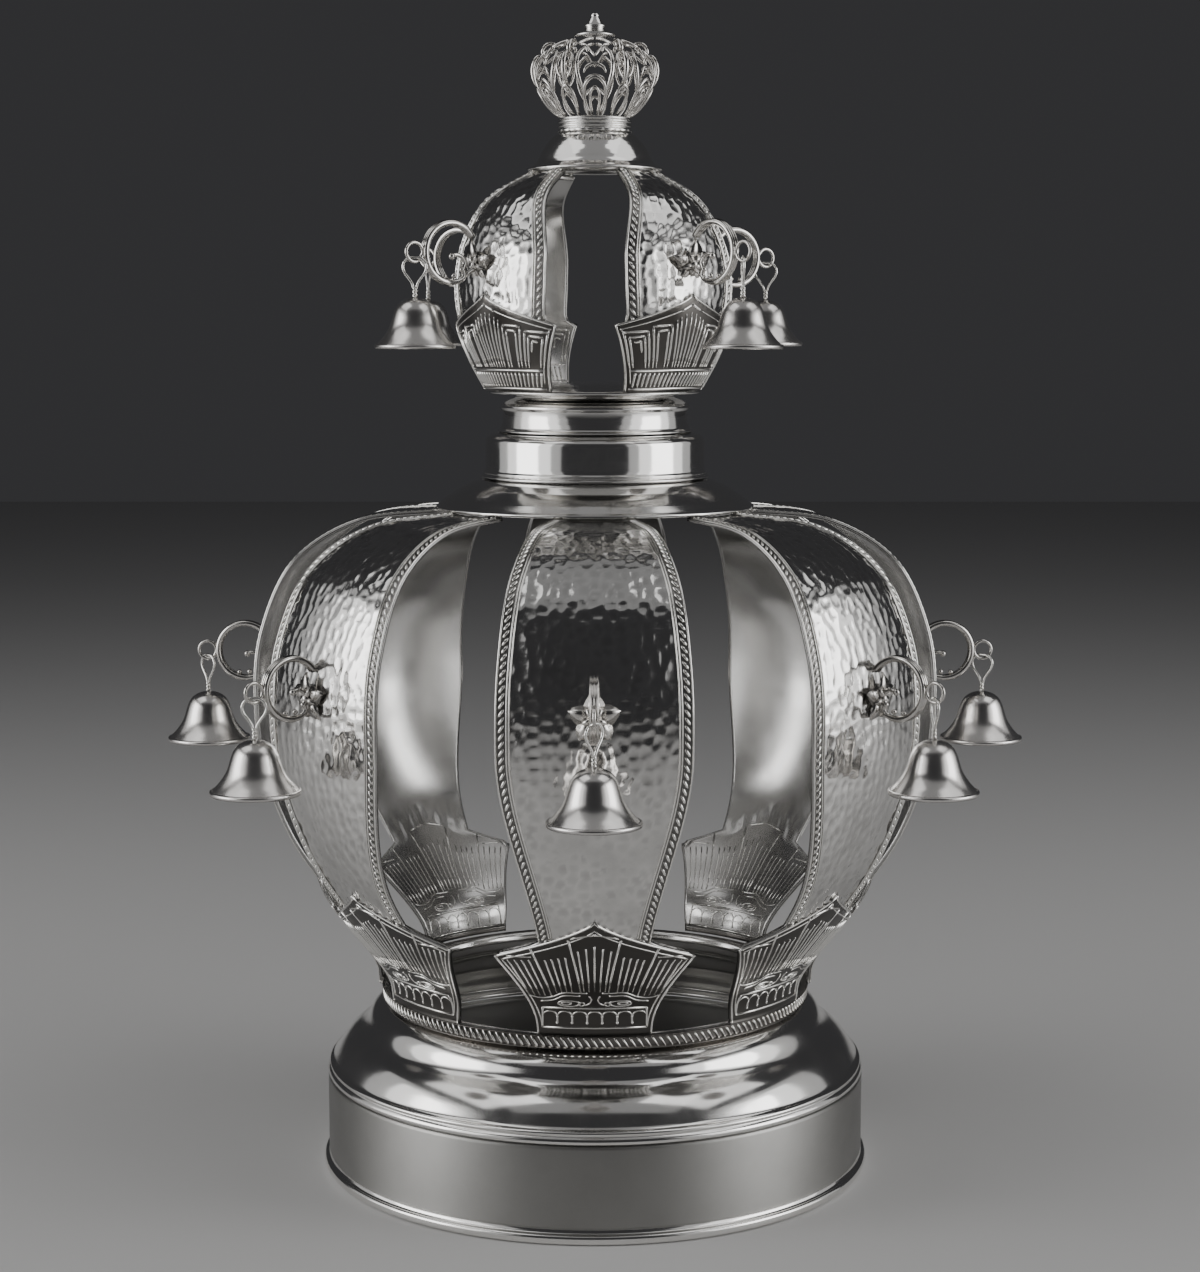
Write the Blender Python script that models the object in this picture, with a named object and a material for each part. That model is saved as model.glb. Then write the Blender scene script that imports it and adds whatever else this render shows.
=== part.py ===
"""Torah crown: a spun silver base, eight hammered panels under a cap and collar,
a smaller crown of four panels, an openwork finial, and twelve bells on scroll brackets.

Units are metres, +Z is up, the underside of the base rests on z = 0 and the axis is Z.
Azimuth 0 faces -Y and grows towards +X.
"""
import math

import bmesh
import bpy
from mathutils import Matrix, Vector

GAP = 0.0003                    # left between pieces that touch
SHEET = 0.0010                  # wall of the spun and hammered sheet
EMBOSS = 0.0007                 # how far a plaque stands proud of its panel

# Facets round each turned piece
BASE_FACETS = 26
CAP_FACETS = 20
COLLAR_FACETS = 18
SMALL_FACETS = 14
BELL_FACETS = 8

# Base: band, stepped dome and rope ring
BAND_RADIUS = 0.0870
BAND_TOP = 0.0298
FOOT_RADIUS = 0.0888
FOOT_HEIGHT = 0.0030
NECK_RADIUS = 0.0670
DOME_TOP = 0.0583
ROPE_RADIUS = 0.0702
ROPE_BOTTOM = 0.0540

# Lower crown
LOWER_TURNS = (0.0, 50.5, 97.0, 138.6, 180.0, 221.4, 263.0, 309.5)
LOWER_FOOT = 0.0588
LOWER_EAR_HEIGHT = 0.0866
LOWER_APEX_HEIGHT = 0.1000
LOWER_NECK_HEIGHT = 0.0932                # where the plaque's ears have drawn in to the leaf
LOWER_WIDE_HEIGHT = 0.1500
LOWER_FOOT_ANGLE = 14.2                   # half widths of a panel, in degrees round the axis
LOWER_EAR_ANGLE = 20.4
LOWER_NECK_ANGLE = 10.6
LOWER_HALF_ANGLE = 15.0
LOWER_CURVE = ((0.0695, LOWER_FOOT), (0.0716, 0.0680), (0.0840, 0.0850), (0.0982, 0.1062),
               (0.1066, 0.1310), (0.1089, 0.1550), (0.1062, 0.1760), (0.0960, 0.1968),
               (0.0760, 0.2092), (0.0485, 0.2123))
LOWER_ROWS = 9

CAP_RADIUS = 0.0507
CAP_BOTTOM = 0.2127
CAP_TOP = 0.2222
COLLAR_RADIUS = 0.0350
COLLAR_TOP = 0.2366
NECKLET_RADIUS = 0.0298
NECKLET_TOP = 0.2488

# Upper crown
UPPER_TURNS = (41.35, 131.35, 221.35, 311.35)
UPPER_BELL_TURNS = (41.35, 122.4, 236.0, 305.7)      # three brackets sit beside their panel's middle
UPPER_FOOT = 0.2506
UPPER_EAR_HEIGHT = 0.2708
UPPER_APEX_HEIGHT = 0.2802
UPPER_NECK_HEIGHT = 0.2730
UPPER_WIDE_HEIGHT = 0.2840
UPPER_TAPER_HEIGHT = 0.2900
UPPER_FOOT_ANGLE = 27.0
UPPER_EAR_ANGLE = 33.6
UPPER_NECK_ANGLE = 28.5
UPPER_HALF_ANGLE = 29.3
UPPER_TOP_ANGLE = 22.5
UPPER_CURVE = ((0.0350, UPPER_FOOT), (0.0398, 0.2600), (0.0434, 0.2708), (0.0446, 0.2840),
               (0.0420, 0.2975), (0.0352, 0.3095), (0.0205, 0.3184))
UPPER_ROWS = 8
FLOOR_RADIUS = 0.0336

TOP_CAP_RADIUS = 0.0213
TOP_CAP_BOTTOM = 0.3188
TOP_CAP_TOP = 0.3302
FINIAL_RING_RADIUS = 0.0117
FINIAL_RING_TOP = 0.3352
FINIAL_RADIUS = 0.0198
FINIAL_TOP = 0.3598
TIP_TOP = 0.3675

# Scroll brackets and bells
SCROLL_WIRE = 0.0011
SCROLL_RADIUS = 0.0090
RING_WIRE = 0.00055
RING_RADIUS = 0.0029
LOOP_WIRE = 0.00042
LOOP_HALF_WIDTH = 0.0042
LOOP_TURN = 50.0
BELL_WALL = 0.0008
LOWER_SCROLL = (0.1155, 0.1646)           # radius and height of the scroll's centre
UPPER_SCROLL = (0.0540, 0.2925)
LOWER_BRACKET_FOOT = 0.1080               # radius of the panel's sheet behind a bracket
UPPER_BRACKET_FOOT = 0.0435
LOWER_BELL_RIM = 0.0135
UPPER_BELL_RIM = 0.0123
LOWER_BELL_HEIGHT = 0.0162
UPPER_BELL_HEIGHT = 0.0152
LOOP_LENGTH = 0.0118


def clear_scene():
    for old in list(bpy.data.objects):
        bpy.data.objects.remove(old, do_unlink=True)


def make_silver(name, colour, roughness):
    silver = bpy.data.materials.new(name)
    silver.use_nodes = True
    shader = silver.node_tree.nodes["Principled BSDF"]
    shader.inputs["Base Color"].default_value = (*colour, 1.0)
    shader.inputs["Metallic"].default_value = 1.0
    shader.inputs["Roughness"].default_value = roughness
    return silver


def add_piece(name, mesh, silver, azimuth=0.0):
    """One named object, turned about the crown's axis to its azimuth."""
    piece = bpy.data.objects.new(name, mesh)
    bpy.context.collection.objects.link(piece)
    piece.data.materials.append(silver)
    piece.rotation_euler.z = math.radians(azimuth)
    return piece


def to_mesh(name, shape):
    bmesh.ops.recalc_face_normals(shape, faces=shape.faces)
    mesh = bpy.data.meshes.new(name)
    shape.to_mesh(mesh)
    shape.free()
    return mesh


def smooth_curve(points, steps):
    """Catmull-Rom curve through the points, with evenly spaced samples along its length."""
    ends = [2 * Vector(points[0]) - Vector(points[1])]
    ends += [Vector(p) for p in points]
    ends += [2 * Vector(points[-1]) - Vector(points[-2])]
    fine = []
    for i in range(1, len(ends) - 2):
        a, b, c, d = ends[i - 1:i + 3]
        for k in range(16):
            t = k / 16
            fine.append(0.5 * (2 * b + (c - a) * t + (2 * a - 5 * b + 4 * c - d) * t ** 2
                               + (3 * b - a - 3 * c + d) * t ** 3))
    fine.append(ends[-2])
    lengths = [0.0]
    for a, b in zip(fine, fine[1:]):
        lengths.append(lengths[-1] + (b - a).length)
    samples = []
    for k in range(steps + 1):
        target = lengths[-1] * k / steps
        i = max(j for j in range(len(fine) - 1) if lengths[j] <= target)
        share = (target - lengths[i]) / (lengths[i + 1] - lengths[i])
        samples.append(fine[i].lerp(fine[i + 1], min(share, 1.0)))
    return samples


def inset_curve(points, distance):
    """The same curve moved sideways, towards its right-hand side as it is travelled."""
    moved = []
    for i, point in enumerate(points):
        before = points[max(i - 1, 0)]
        after = points[min(i + 1, len(points) - 1)]
        along = (Vector(after) - Vector(before)).normalized()
        moved.append(Vector(point) + distance * Vector((along.y, -along.x)))
    return moved


def revolve(outline, segments):
    """Turn a closed (radius, height) outline round Z; a radius of zero makes a pole."""
    shape = bmesh.new()
    rings = []
    for radius, height in outline:
        if radius < 1e-6:
            rings.append([shape.verts.new((0, 0, height))])
            continue
        ring = []
        for k in range(segments):
            turn = 2 * math.pi * k / segments
            ring.append(shape.verts.new((radius * math.sin(turn), -radius * math.cos(turn), height)))
        rings.append(ring)
    for ring, after in zip(rings, rings[1:] + rings[:1]):
        for k in range(segments):
            n = (k + 1) % segments
            corners = [ring[k % len(ring)], ring[n % len(ring)], after[n % len(after)], after[k % len(after)]]
            corners = list(dict.fromkeys(corners))
            if len(corners) > 2:
                shape.faces.new(corners)
    return shape


def spun_shell(outer, wall, segments):
    """A spun sheet: the outer curve, climbing, and the same curve one wall further in."""
    inner = inset_curve(outer, -wall)
    return revolve([tuple(p) for p in outer] + [tuple(p) for p in reversed(inner)], segments)


def sweep_tube(path, radii, sides, closed=False):
    """A round wire along a path that lies in a vertical plane, with a radius at each point."""
    shape = bmesh.new()
    rings = []
    count = len(path)
    across = (path[1] - path[0]).cross(path[2] - path[1]).normalized()
    for i, point in enumerate(path):
        before = path[i - 1] if closed or i else path[0]
        after = path[(i + 1) % count] if closed or i < count - 1 else path[-1]
        along = (after - before).normalized()
        up = across.cross(along)
        ring = []
        for k in range(sides):
            turn = 2 * math.pi * (k + 0.5) / sides
            ring.append(shape.verts.new(point + radii[i] * (math.cos(turn) * across + math.sin(turn) * up)))
        rings.append(ring)
    pairs = list(zip(rings, rings[1:]))
    if closed:
        pairs.append((rings[-1], rings[0]))
    else:
        shape.faces.new(rings[0])
        shape.faces.new(rings[-1])
    for ring, after in pairs:
        for k in range(sides):
            n = (k + 1) % sides
            shape.faces.new((ring[k], ring[n], after[n], after[k]))
    return shape


def fuse(name, first, second):
    """Union of two closed meshes as one new mesh."""
    base = bpy.data.objects.new(name, first)
    tool = bpy.data.objects.new(name + "_tool", second)
    for part in (base, tool):
        bpy.context.collection.objects.link(part)
    union = base.modifiers.new("union", "BOOLEAN")
    union.operation = "UNION"
    union.solver = "EXACT"
    union.object = tool
    bpy.context.view_layer.update()
    joined = bpy.data.meshes.new_from_object(base.evaluated_get(bpy.context.evaluated_depsgraph_get()))
    for part in (base, tool):
        bpy.data.objects.remove(part, do_unlink=True)
    joined.name = name
    return joined


def blend(value, low, high, start, end):
    """Value at start to value at end, eased, between two heights."""
    share = min(max((value - low) / (high - low), 0.0), 1.0)
    share = share * share * (3 - 2 * share)
    return start + (end - start) * share


def lower_half_angle(height):
    """Half the width of a lower panel, in degrees: plaque sides, ears, then the leaf shape."""
    if height <= LOWER_EAR_HEIGHT:
        share = (height - LOWER_FOOT) / (LOWER_EAR_HEIGHT - LOWER_FOOT)
        return LOWER_FOOT_ANGLE + (LOWER_EAR_ANGLE - LOWER_FOOT_ANGLE) * share ** 1.6
    if height <= LOWER_NECK_HEIGHT:
        share = (height - LOWER_EAR_HEIGHT) / (LOWER_NECK_HEIGHT - LOWER_EAR_HEIGHT)
        return LOWER_EAR_ANGLE + (LOWER_NECK_ANGLE - LOWER_EAR_ANGLE) * share
    return blend(height, LOWER_NECK_HEIGHT, LOWER_WIDE_HEIGHT, LOWER_NECK_ANGLE, LOWER_HALF_ANGLE)


def upper_half_angle(height):
    """Half the width of an upper panel, in degrees."""
    if height <= UPPER_EAR_HEIGHT:
        share = (height - UPPER_FOOT) / (UPPER_EAR_HEIGHT - UPPER_FOOT)
        return UPPER_FOOT_ANGLE + (UPPER_EAR_ANGLE - UPPER_FOOT_ANGLE) * share ** 1.5
    if height <= UPPER_NECK_HEIGHT:
        share = (height - UPPER_EAR_HEIGHT) / (UPPER_NECK_HEIGHT - UPPER_EAR_HEIGHT)
        return UPPER_EAR_ANGLE + (UPPER_NECK_ANGLE - UPPER_EAR_ANGLE) * share
    if height <= UPPER_TAPER_HEIGHT:
        return blend(height, UPPER_NECK_HEIGHT, UPPER_WIDE_HEIGHT, UPPER_NECK_ANGLE, UPPER_HALF_ANGLE)
    return blend(height, UPPER_TAPER_HEIGHT, UPPER_CURVE[-1][1], UPPER_HALF_ANGLE, UPPER_TOP_ANGLE)


def crown_panel(name, curve, rows, half_angle, ear_height, apex_height, columns=4):
    """A curved leaf of sheet whose foot swells into a plaque with two ears and an apex."""
    shape = bmesh.new()
    meridian = smooth_curve(curve, rows)
    nearest = min(range(len(meridian)), key=lambda i: abs(meridian[i].y - ear_height))
    fine = smooth_curve(curve, rows * 12)
    meridian[nearest] = min(fine, key=lambda p: abs(p.y - ear_height))
    grid = []
    for radius, height in meridian:
        row = []
        for k in range(columns + 1):
            across = 2 * k / columns - 1
            edge = apex_height + (ear_height - apex_height) * math.sqrt(abs(across))
            proud = EMBOSS if height < edge else 0.0
            turn = math.radians(across * half_angle(height))
            reach = radius + proud
            row.append(shape.verts.new((reach * math.sin(turn), -reach * math.cos(turn), height)))
        grid.append(row)
    for row, above in zip(grid, grid[1:]):
        for k in range(columns):
            shape.faces.new((row[k], row[k + 1], above[k + 1], above[k]))
    mesh = bpy.data.meshes.new(name)
    shape.to_mesh(mesh)
    shape.free()
    return mesh


def add_sheet(piece, thickness):
    """Give a surface its thickness on its inner side."""
    wall = piece.modifiers.new("wall", "SOLIDIFY")
    wall.thickness = thickness
    wall.offset = -1.0
    wall.use_even_offset = False


def build_base(satin, polished):
    foot = [(FOOT_RADIUS - 0.0012, 0.0), (FOOT_RADIUS, 0.0008), (FOOT_RADIUS, 0.0021),
            (BAND_RADIUS + 0.0004, FOOT_HEIGHT), (BAND_RADIUS, 0.0036), (BAND_RADIUS, BAND_TOP),
            (BAND_RADIUS - SHEET, BAND_TOP), (BAND_RADIUS - SHEET, SHEET), (BAND_RADIUS - 0.0045, SHEET),
            (BAND_RADIUS - 0.0045, 0.0)]
    add_piece("base_band", to_mesh("base_band", revolve(foot, BASE_FACETS)), satin)

    start = BAND_TOP + GAP
    steps = [(0.0868, start), (0.0868, start + 0.0022), (0.0854, 0.0340), (0.0838, 0.0372),
             (0.0814, 0.0390), (0.0792, 0.0446), (0.0746, 0.0484), (0.0690, 0.0516),
             (NECK_RADIUS, 0.0550), (NECK_RADIUS, DOME_TOP)]
    dome = spun_shell([Vector(p) for p in steps], SHEET, BASE_FACETS)
    add_piece("base_dome", to_mesh("base_dome", dome), polished)

    inside = NECK_RADIUS + GAP
    rope = [(inside, ROPE_BOTTOM + 0.0012), (ROPE_RADIUS - 0.0004, ROPE_BOTTOM),
            (ROPE_RADIUS, DOME_TOP - 0.0012), (inside, DOME_TOP)]
    add_piece("rope_ring", to_mesh("rope_ring", revolve(rope, BASE_FACETS)), polished)


def build_lower_crown(hammered, polished):
    for number, azimuth in enumerate(LOWER_TURNS, 1):
        name = f"lower_panel_{number}"
        mesh = crown_panel(name, LOWER_CURVE, LOWER_ROWS, lower_half_angle,
                           LOWER_EAR_HEIGHT, LOWER_APEX_HEIGHT)
        add_sheet(add_piece(name, mesh, hammered, azimuth), SHEET)

    rim = [(CAP_RADIUS - 0.0020, CAP_BOTTOM), (CAP_RADIUS - 0.0002, CAP_BOTTOM + 0.0001),
           (CAP_RADIUS, CAP_BOTTOM + 0.0010), (0.0490, 0.2152), (0.0430, 0.2192),
           (0.0350, CAP_TOP), (0.0, CAP_TOP), (0.0, CAP_TOP - SHEET),
           (0.0346, CAP_TOP - SHEET), (0.0420, 0.2182), (0.0476, 0.2144)]
    add_piece("lower_cap", to_mesh("lower_cap", revolve(rim, CAP_FACETS)), polished)

    foot = CAP_TOP + GAP
    drum = [(COLLAR_RADIUS + 0.0012, foot), (COLLAR_RADIUS + 0.0012, foot + 0.0010),
            (COLLAR_RADIUS, foot + 0.0016), (COLLAR_RADIUS, 0.2335), (0.0342, 0.2350), (0.0306, COLLAR_TOP)]
    shell = spun_shell([Vector(p) for p in drum], SHEET, COLLAR_FACETS)
    add_piece("collar_drum", to_mesh("collar_drum", shell), polished)

    foot = COLLAR_TOP + GAP
    necklet = [(NECKLET_RADIUS + 0.0008, foot), (NECKLET_RADIUS + 0.0008, foot + 0.0009),
               (NECKLET_RADIUS, foot + 0.0014), (0.0286, 0.2458), (0.0250, 0.2480),
               (0.0252, NECKLET_TOP)]
    shell = spun_shell([Vector(p) for p in necklet], SHEET, COLLAR_FACETS)
    add_piece("collar_necklet", to_mesh("collar_necklet", shell), polished)


def build_upper_crown(hammered, polished):
    foot = NECKLET_TOP + GAP
    floor = [(FLOOR_RADIUS - 0.0004, foot), (FLOOR_RADIUS, foot + 0.0006),
             (FLOOR_RADIUS - 0.0006, foot + SHEET), (0.0200, foot + SHEET + 0.0016),
             (0.0, foot + SHEET + 0.0024), (0.0, foot + 0.0024), (0.0200, foot + 0.0016), (0.0255, foot)]
    add_piece("upper_floor", to_mesh("upper_floor", revolve(floor, CAP_FACETS)), polished)

    for number, azimuth in enumerate(UPPER_TURNS, 1):
        name = f"upper_panel_{number}"
        mesh = crown_panel(name, UPPER_CURVE, UPPER_ROWS, upper_half_angle,
                           UPPER_EAR_HEIGHT, UPPER_APEX_HEIGHT)
        add_sheet(add_piece(name, mesh, hammered, azimuth), SHEET)

    cap = [(TOP_CAP_RADIUS - 0.0004, TOP_CAP_BOTTOM), (TOP_CAP_RADIUS, TOP_CAP_BOTTOM + 0.0006),
           (0.0190, 0.3206), (0.0174, 0.3226), (0.0158, 0.3264), (0.0138, 0.3290), (0.0112, TOP_CAP_TOP)]
    shell = spun_shell([Vector(p) for p in cap], SHEET, SMALL_FACETS)
    add_piece("upper_cap", to_mesh("upper_cap", shell), polished)


def build_finial(polished):
    foot = TOP_CAP_TOP + GAP
    ring = [(FINIAL_RING_RADIUS - 0.0006, foot), (FINIAL_RING_RADIUS, foot + 0.0012),
            (FINIAL_RING_RADIUS - 0.0006, FINIAL_RING_TOP), (0.0092, FINIAL_RING_TOP), (0.0092, foot)]
    add_piece("finial_ring", to_mesh("finial_ring", revolve(ring, SMALL_FACETS)), polished)

    curve = ((0.0108, FINIAL_RING_TOP + GAP), (0.0138, 0.3378), (0.0172, 0.3424), (FINIAL_RADIUS, 0.3484),
             (0.0188, 0.3524), (0.0148, 0.3564), (0.0080, 0.3592), (0.0050, FINIAL_TOP))
    columns = 16
    shape = bmesh.new()
    rows = []
    for radius, height in smooth_curve(curve, 5):
        row = []
        for k in range(columns):
            turn = 2 * math.pi * (k + 0.5) / columns
            row.append(shape.verts.new((radius * math.sin(turn), -radius * math.cos(turn), height)))
        rows.append(row)
    for level, (row, above) in enumerate(zip(rows, rows[1:])):
        for k in range(columns):
            window = k % 2 and 0 < level < 4
            if not window:
                n = (k + 1) % columns
                shape.faces.new((row[k], row[n], above[n], above[k]))
    mesh = bpy.data.meshes.new("finial_crown")
    shape.to_mesh(mesh)
    shape.free()
    add_sheet(add_piece("finial_crown", mesh, polished), 0.0012)

    foot = FINIAL_TOP + GAP
    tip = [(0.0, foot), (0.0064, foot), (0.0066, foot + 0.0007), (0.0036, foot + 0.0014),
           (0.0034, 0.3640), (0.0018, 0.3650), (0.0, TIP_TOP)]
    add_piece("finial_tip", to_mesh("finial_tip", revolve(tip, 10)), polished)


def scroll_mesh(name, scroll, panel_reach):
    """A C of wire from a rosette foot on the panel, over the top and back under, with its ring."""
    reach, height = scroll
    centre = Vector((0, -reach, height))
    path = []
    radii = []
    for step in range(8):
        turn = math.radians(90 - 30 * step)
        path.append(centre + SCROLL_RADIUS * Vector((0, -math.cos(turn), math.sin(turn))))
        radii.append(SCROLL_WIRE)
    foot = Vector((0, -panel_reach, path[0].z - 0.0030))
    path.insert(0, foot.lerp(path[0], 0.5) + Vector((0, 0, 0.0009)))
    path.insert(0, foot + 0.12 * (path[0] - foot))
    path.insert(0, foot)
    radii = [0.0030, 0.0026, SCROLL_WIRE] + radii
    wire = to_mesh(name, sweep_tube(path, radii, 4))
    middle = centre + Vector((0, -(SCROLL_RADIUS + SCROLL_WIRE + RING_RADIUS - 0.0002), 0))
    ring_path = []
    for k in range(8):
        turn = 2 * math.pi * k / 8
        ring_path.append(middle + RING_RADIUS * Vector((0, math.cos(turn), math.sin(turn))))
    ring = to_mesh(name + "_ring", sweep_tube(ring_path, [RING_WIRE] * 8, 3, closed=True))
    return fuse(name, wire, ring), middle


def loop_mesh(name, ring_middle):
    """The wire loop that hangs in the ring: a drop shape that narrows to the bell's crown."""
    top = ring_middle.z - RING_RADIUS + RING_WIRE + LOOP_WIRE + GAP
    path = []
    for k in range(8):
        turn = 2 * math.pi * k / 8
        fall = 0.5 * (1 - math.cos(turn))
        width = LOOP_HALF_WIDTH * math.sin(turn) * (1 - 0.55 * fall)
        path.append(Vector((0, width, -fall * (LOOP_LENGTH - 0.0010))))
    shape = sweep_tube(path, [LOOP_WIRE] * 8, 3, closed=True)
    place = Matrix.Translation((0, ring_middle.y, top)) @ Matrix.Rotation(math.radians(LOOP_TURN), 4, "Z")
    bmesh.ops.transform(shape, matrix=place, verts=shape.verts)
    return to_mesh(name, shape), top - LOOP_LENGTH - GAP


def bell_mesh(name, reach, crown_height, rim, height):
    """A thin bell: round shoulder, drawn-in waist and a rolled, flared lip."""
    low = crown_height - height
    outer = [(0.0, crown_height), (0.38 * rim, crown_height - 0.08 * height),
             (0.56 * rim, low + 0.44 * height), (rim, low + 0.06 * height), (0.985 * rim, low)]
    inner = [(0.56 * rim - BELL_WALL, low + 0.40 * height),
             (0.38 * rim - BELL_WALL, crown_height - 0.14 * height), (0.0, crown_height - BELL_WALL)]
    shape = revolve(outer + inner, BELL_FACETS)
    bmesh.ops.translate(shape, vec=(0, -reach, 0), verts=shape.verts)
    return to_mesh(name, shape)


def build_bells(tier, turns, scroll, panel_reach, rim, height, polished):
    for number, azimuth in enumerate(turns, 1):
        label = f"{tier}_{{}}_{number}"
        bracket, ring_middle = scroll_mesh(label.format("bracket"), scroll, panel_reach)
        add_piece(label.format("bracket"), bracket, polished, azimuth)
        loop, crown_height = loop_mesh(label.format("bell_loop"), ring_middle)
        add_piece(label.format("bell_loop"), loop, polished, azimuth)
        bell = bell_mesh(label.format("bell"), -ring_middle.y, crown_height, rim, height)
        add_piece(label.format("bell"), bell, polished, azimuth)


def main():
    clear_scene()
    polished = make_silver("polished_silver", (0.80, 0.79, 0.77), 0.10)
    satin = make_silver("satin_silver", (0.62, 0.61, 0.60), 0.34)
    hammered = make_silver("hammered_silver", (0.76, 0.75, 0.73), 0.16)
    build_base(satin, polished)
    build_lower_crown(hammered, polished)
    build_upper_crown(hammered, polished)
    build_finial(polished)
    build_bells("lower", LOWER_TURNS, LOWER_SCROLL, LOWER_BRACKET_FOOT, LOWER_BELL_RIM,
                LOWER_BELL_HEIGHT, polished)
    build_bells("upper", UPPER_BELL_TURNS, UPPER_SCROLL, UPPER_BRACKET_FOOT, UPPER_BELL_RIM,
                UPPER_BELL_HEIGHT, polished)


main()
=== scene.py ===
"""Torah crown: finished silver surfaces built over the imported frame.

Every size is in metres. The crown's axis is Z, and azimuth 0 faces -Y and grows towards +X.
"""

import math

import bpy
import numpy as np
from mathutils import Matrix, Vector


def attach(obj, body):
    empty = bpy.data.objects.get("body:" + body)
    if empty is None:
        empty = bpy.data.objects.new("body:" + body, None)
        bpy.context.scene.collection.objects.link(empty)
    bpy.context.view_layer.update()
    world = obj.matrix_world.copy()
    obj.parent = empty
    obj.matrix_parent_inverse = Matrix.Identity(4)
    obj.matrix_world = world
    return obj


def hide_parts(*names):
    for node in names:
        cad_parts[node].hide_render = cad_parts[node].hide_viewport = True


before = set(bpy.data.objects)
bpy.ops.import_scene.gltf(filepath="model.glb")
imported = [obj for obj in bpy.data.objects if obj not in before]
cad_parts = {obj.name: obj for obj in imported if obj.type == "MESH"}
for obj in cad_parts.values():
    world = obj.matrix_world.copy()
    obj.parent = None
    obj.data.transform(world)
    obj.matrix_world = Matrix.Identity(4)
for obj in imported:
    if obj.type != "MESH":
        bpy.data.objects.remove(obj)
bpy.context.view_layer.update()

MM = 0.001
LOWER_TURNS = (0.0, 50.5, 97.0, 138.6, 180.0, 221.4, 263.0, 309.5)
UPPER_TURNS = (41.35, 131.35, 221.35, 311.35)
UPPER_BELL_TURNS = (41.35, 122.4, 236.0, 305.7)   # three brackets sit beside their panel's middle
SHEET = 1.0 * MM                # wall of the hammered and spun sheet
EMBOSS = 0.7 * MM               # how far a plaque stands proud of its panel
PRINT_SHARE = 0.55              # how much of that shows inside
LINE_SINK = 0.02 * MM
GAP = 0.3 * MM                  # between pieces that hang in each other
AXIS = 1e-7                     # a radius below this is on the axis

# A panel's shape: its meridian, its plaque and the spread of its sides
LOWER = {
    "curve": ((0.0695, 0.0588), (0.0716, 0.0680), (0.0840, 0.0850), (0.0982, 0.1062), (0.1066, 0.1310),
              (0.1089, 0.1550), (0.1062, 0.1760), (0.0960, 0.1968), (0.0760, 0.2092), (0.0485, 0.2123)),
    "foot": 0.0588, "ear": 0.0866, "apex": 0.1000,
    "foot_angle": 14.2, "ear_angle": 20.4, "neck_angle": 10.6, "wide_angle": 15.0, "top_angle": 15.0,
    "wide_height": 0.1500, "taper_height": 0.1700, "top_height": 0.2123,
    "columns": 80, "plaque_rows": 36, "leaf_rows": 140, "dimple": 3.6 * MM, "dent": 0.34 * MM,
    "bead_lean": -36,
}
UPPER = {
    "curve": ((0.0350, 0.2506), (0.0398, 0.2600), (0.0434, 0.2708), (0.0446, 0.2840), (0.0420, 0.2975),
              (0.0352, 0.3095), (0.0205, 0.3184)),
    "foot": 0.2506, "ear": 0.2708, "apex": 0.2802,
    "foot_angle": 27.0, "ear_angle": 33.6, "neck_angle": 28.5, "wide_angle": 29.3, "top_angle": 22.5,
    "wide_height": 0.2840, "taper_height": 0.2900, "top_height": 0.3184,
    "columns": 76, "plaque_rows": 34, "leaf_rows": 60, "dimple": 3.3 * MM, "dent": 0.30 * MM,
    "bead_lean": 36,
}
TOP_EDGE_POWER = 0.72           # how hollow the line from a plaque's apex to its ears is
SIDE_POWER = 1.6                # how hollow its sides are
STRAIGHT_POINTS = 5             # points of a straight raised line
SHARE_SCALE = 30                # evens out shares and millimetres before a curve is laid through them
EDGE_WIRE = 0.32 * MM
EDGING_INSET = 0.35 * MM
EDGING_WIDTH = 3.1 * MM
BEAD_PITCH = 2.2 * MM
BEAD_SIZE = (3.6 * MM, 1.1 * MM, 1.2 * MM)

# How much painted shade darkens each part of a panel, from 0 to 1: the plaque ground, the gutters, the hammer
# hollows and the inner face
PLAQUE_SHADE = 0.97
GUTTER_SHADE = 0.85
HOLLOW_SHADE = 0.30              # the hollow of a hammer mark
INSIDE_SHADE = 0.30              # the panel's inner face

# The frame of arches at the foot of a lower plaque, and the leaves over it, in millimetres
FRAME_HALF, FRAME_LOW, FRAME_HIGH, FRAME_ARCHES = 15.6, 61.3, 68.2, 7
LEAF_HEIGHT = 70.0


# ---------------------------------------------------------------- curves

def smooth_curve(points, samples=900):
    """Catmull-Rom curve through the points: positions and lengths along it."""
    p = np.array(points, float)
    p = np.vstack([2 * p[0] - p[1], p, 2 * p[-1] - p[-2]])
    fine = []
    for i in range(1, len(p) - 2):
        a, b, c, d = p[i - 1:i + 3]
        t = np.linspace(0, 1, 60, endpoint=False)[:, None]
        fine.append(0.5 * (2 * b + (c - a) * t + (2 * a - 5 * b + 4 * c - d) * t ** 2
                           + (3 * b - a - 3 * c + d) * t ** 3))
    fine = np.vstack(fine + [p[-2:-1]])
    length = np.concatenate([[0], np.cumsum(np.linalg.norm(np.diff(fine, axis=0), axis=1))])
    at = np.linspace(0, length[-1], samples)
    even = np.stack([np.interp(at, length, fine[:, k]) for k in range(fine.shape[1])], axis=1)
    return even, at


def round_corners(points, radius, steps=2):
    """An outline with every inner corner turned into a small arc."""
    p = [np.array(q, float) for q in points]
    out = [p[0]]
    for before, corner, after in zip(p, p[1:], p[2:]):
        reach_in = np.linalg.norm(corner - before)
        reach_out = np.linalg.norm(after - corner)
        reach = min(radius, 0.45 * reach_in, 0.45 * reach_out)
        start = corner + (before - corner) * reach / reach_in
        end = corner + (after - corner) * reach / reach_out
        for k in range(steps + 1):
            t = k / steps
            out.append((1 - t) ** 2 * start + 2 * t * (1 - t) * corner + t ** 2 * end)
    out.append(p[-1])
    return out


def turn_vector(azimuth):
    """The outward direction at an azimuth in radians."""
    return np.array((math.sin(azimuth), -math.cos(azimuth), 0.0))


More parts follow.
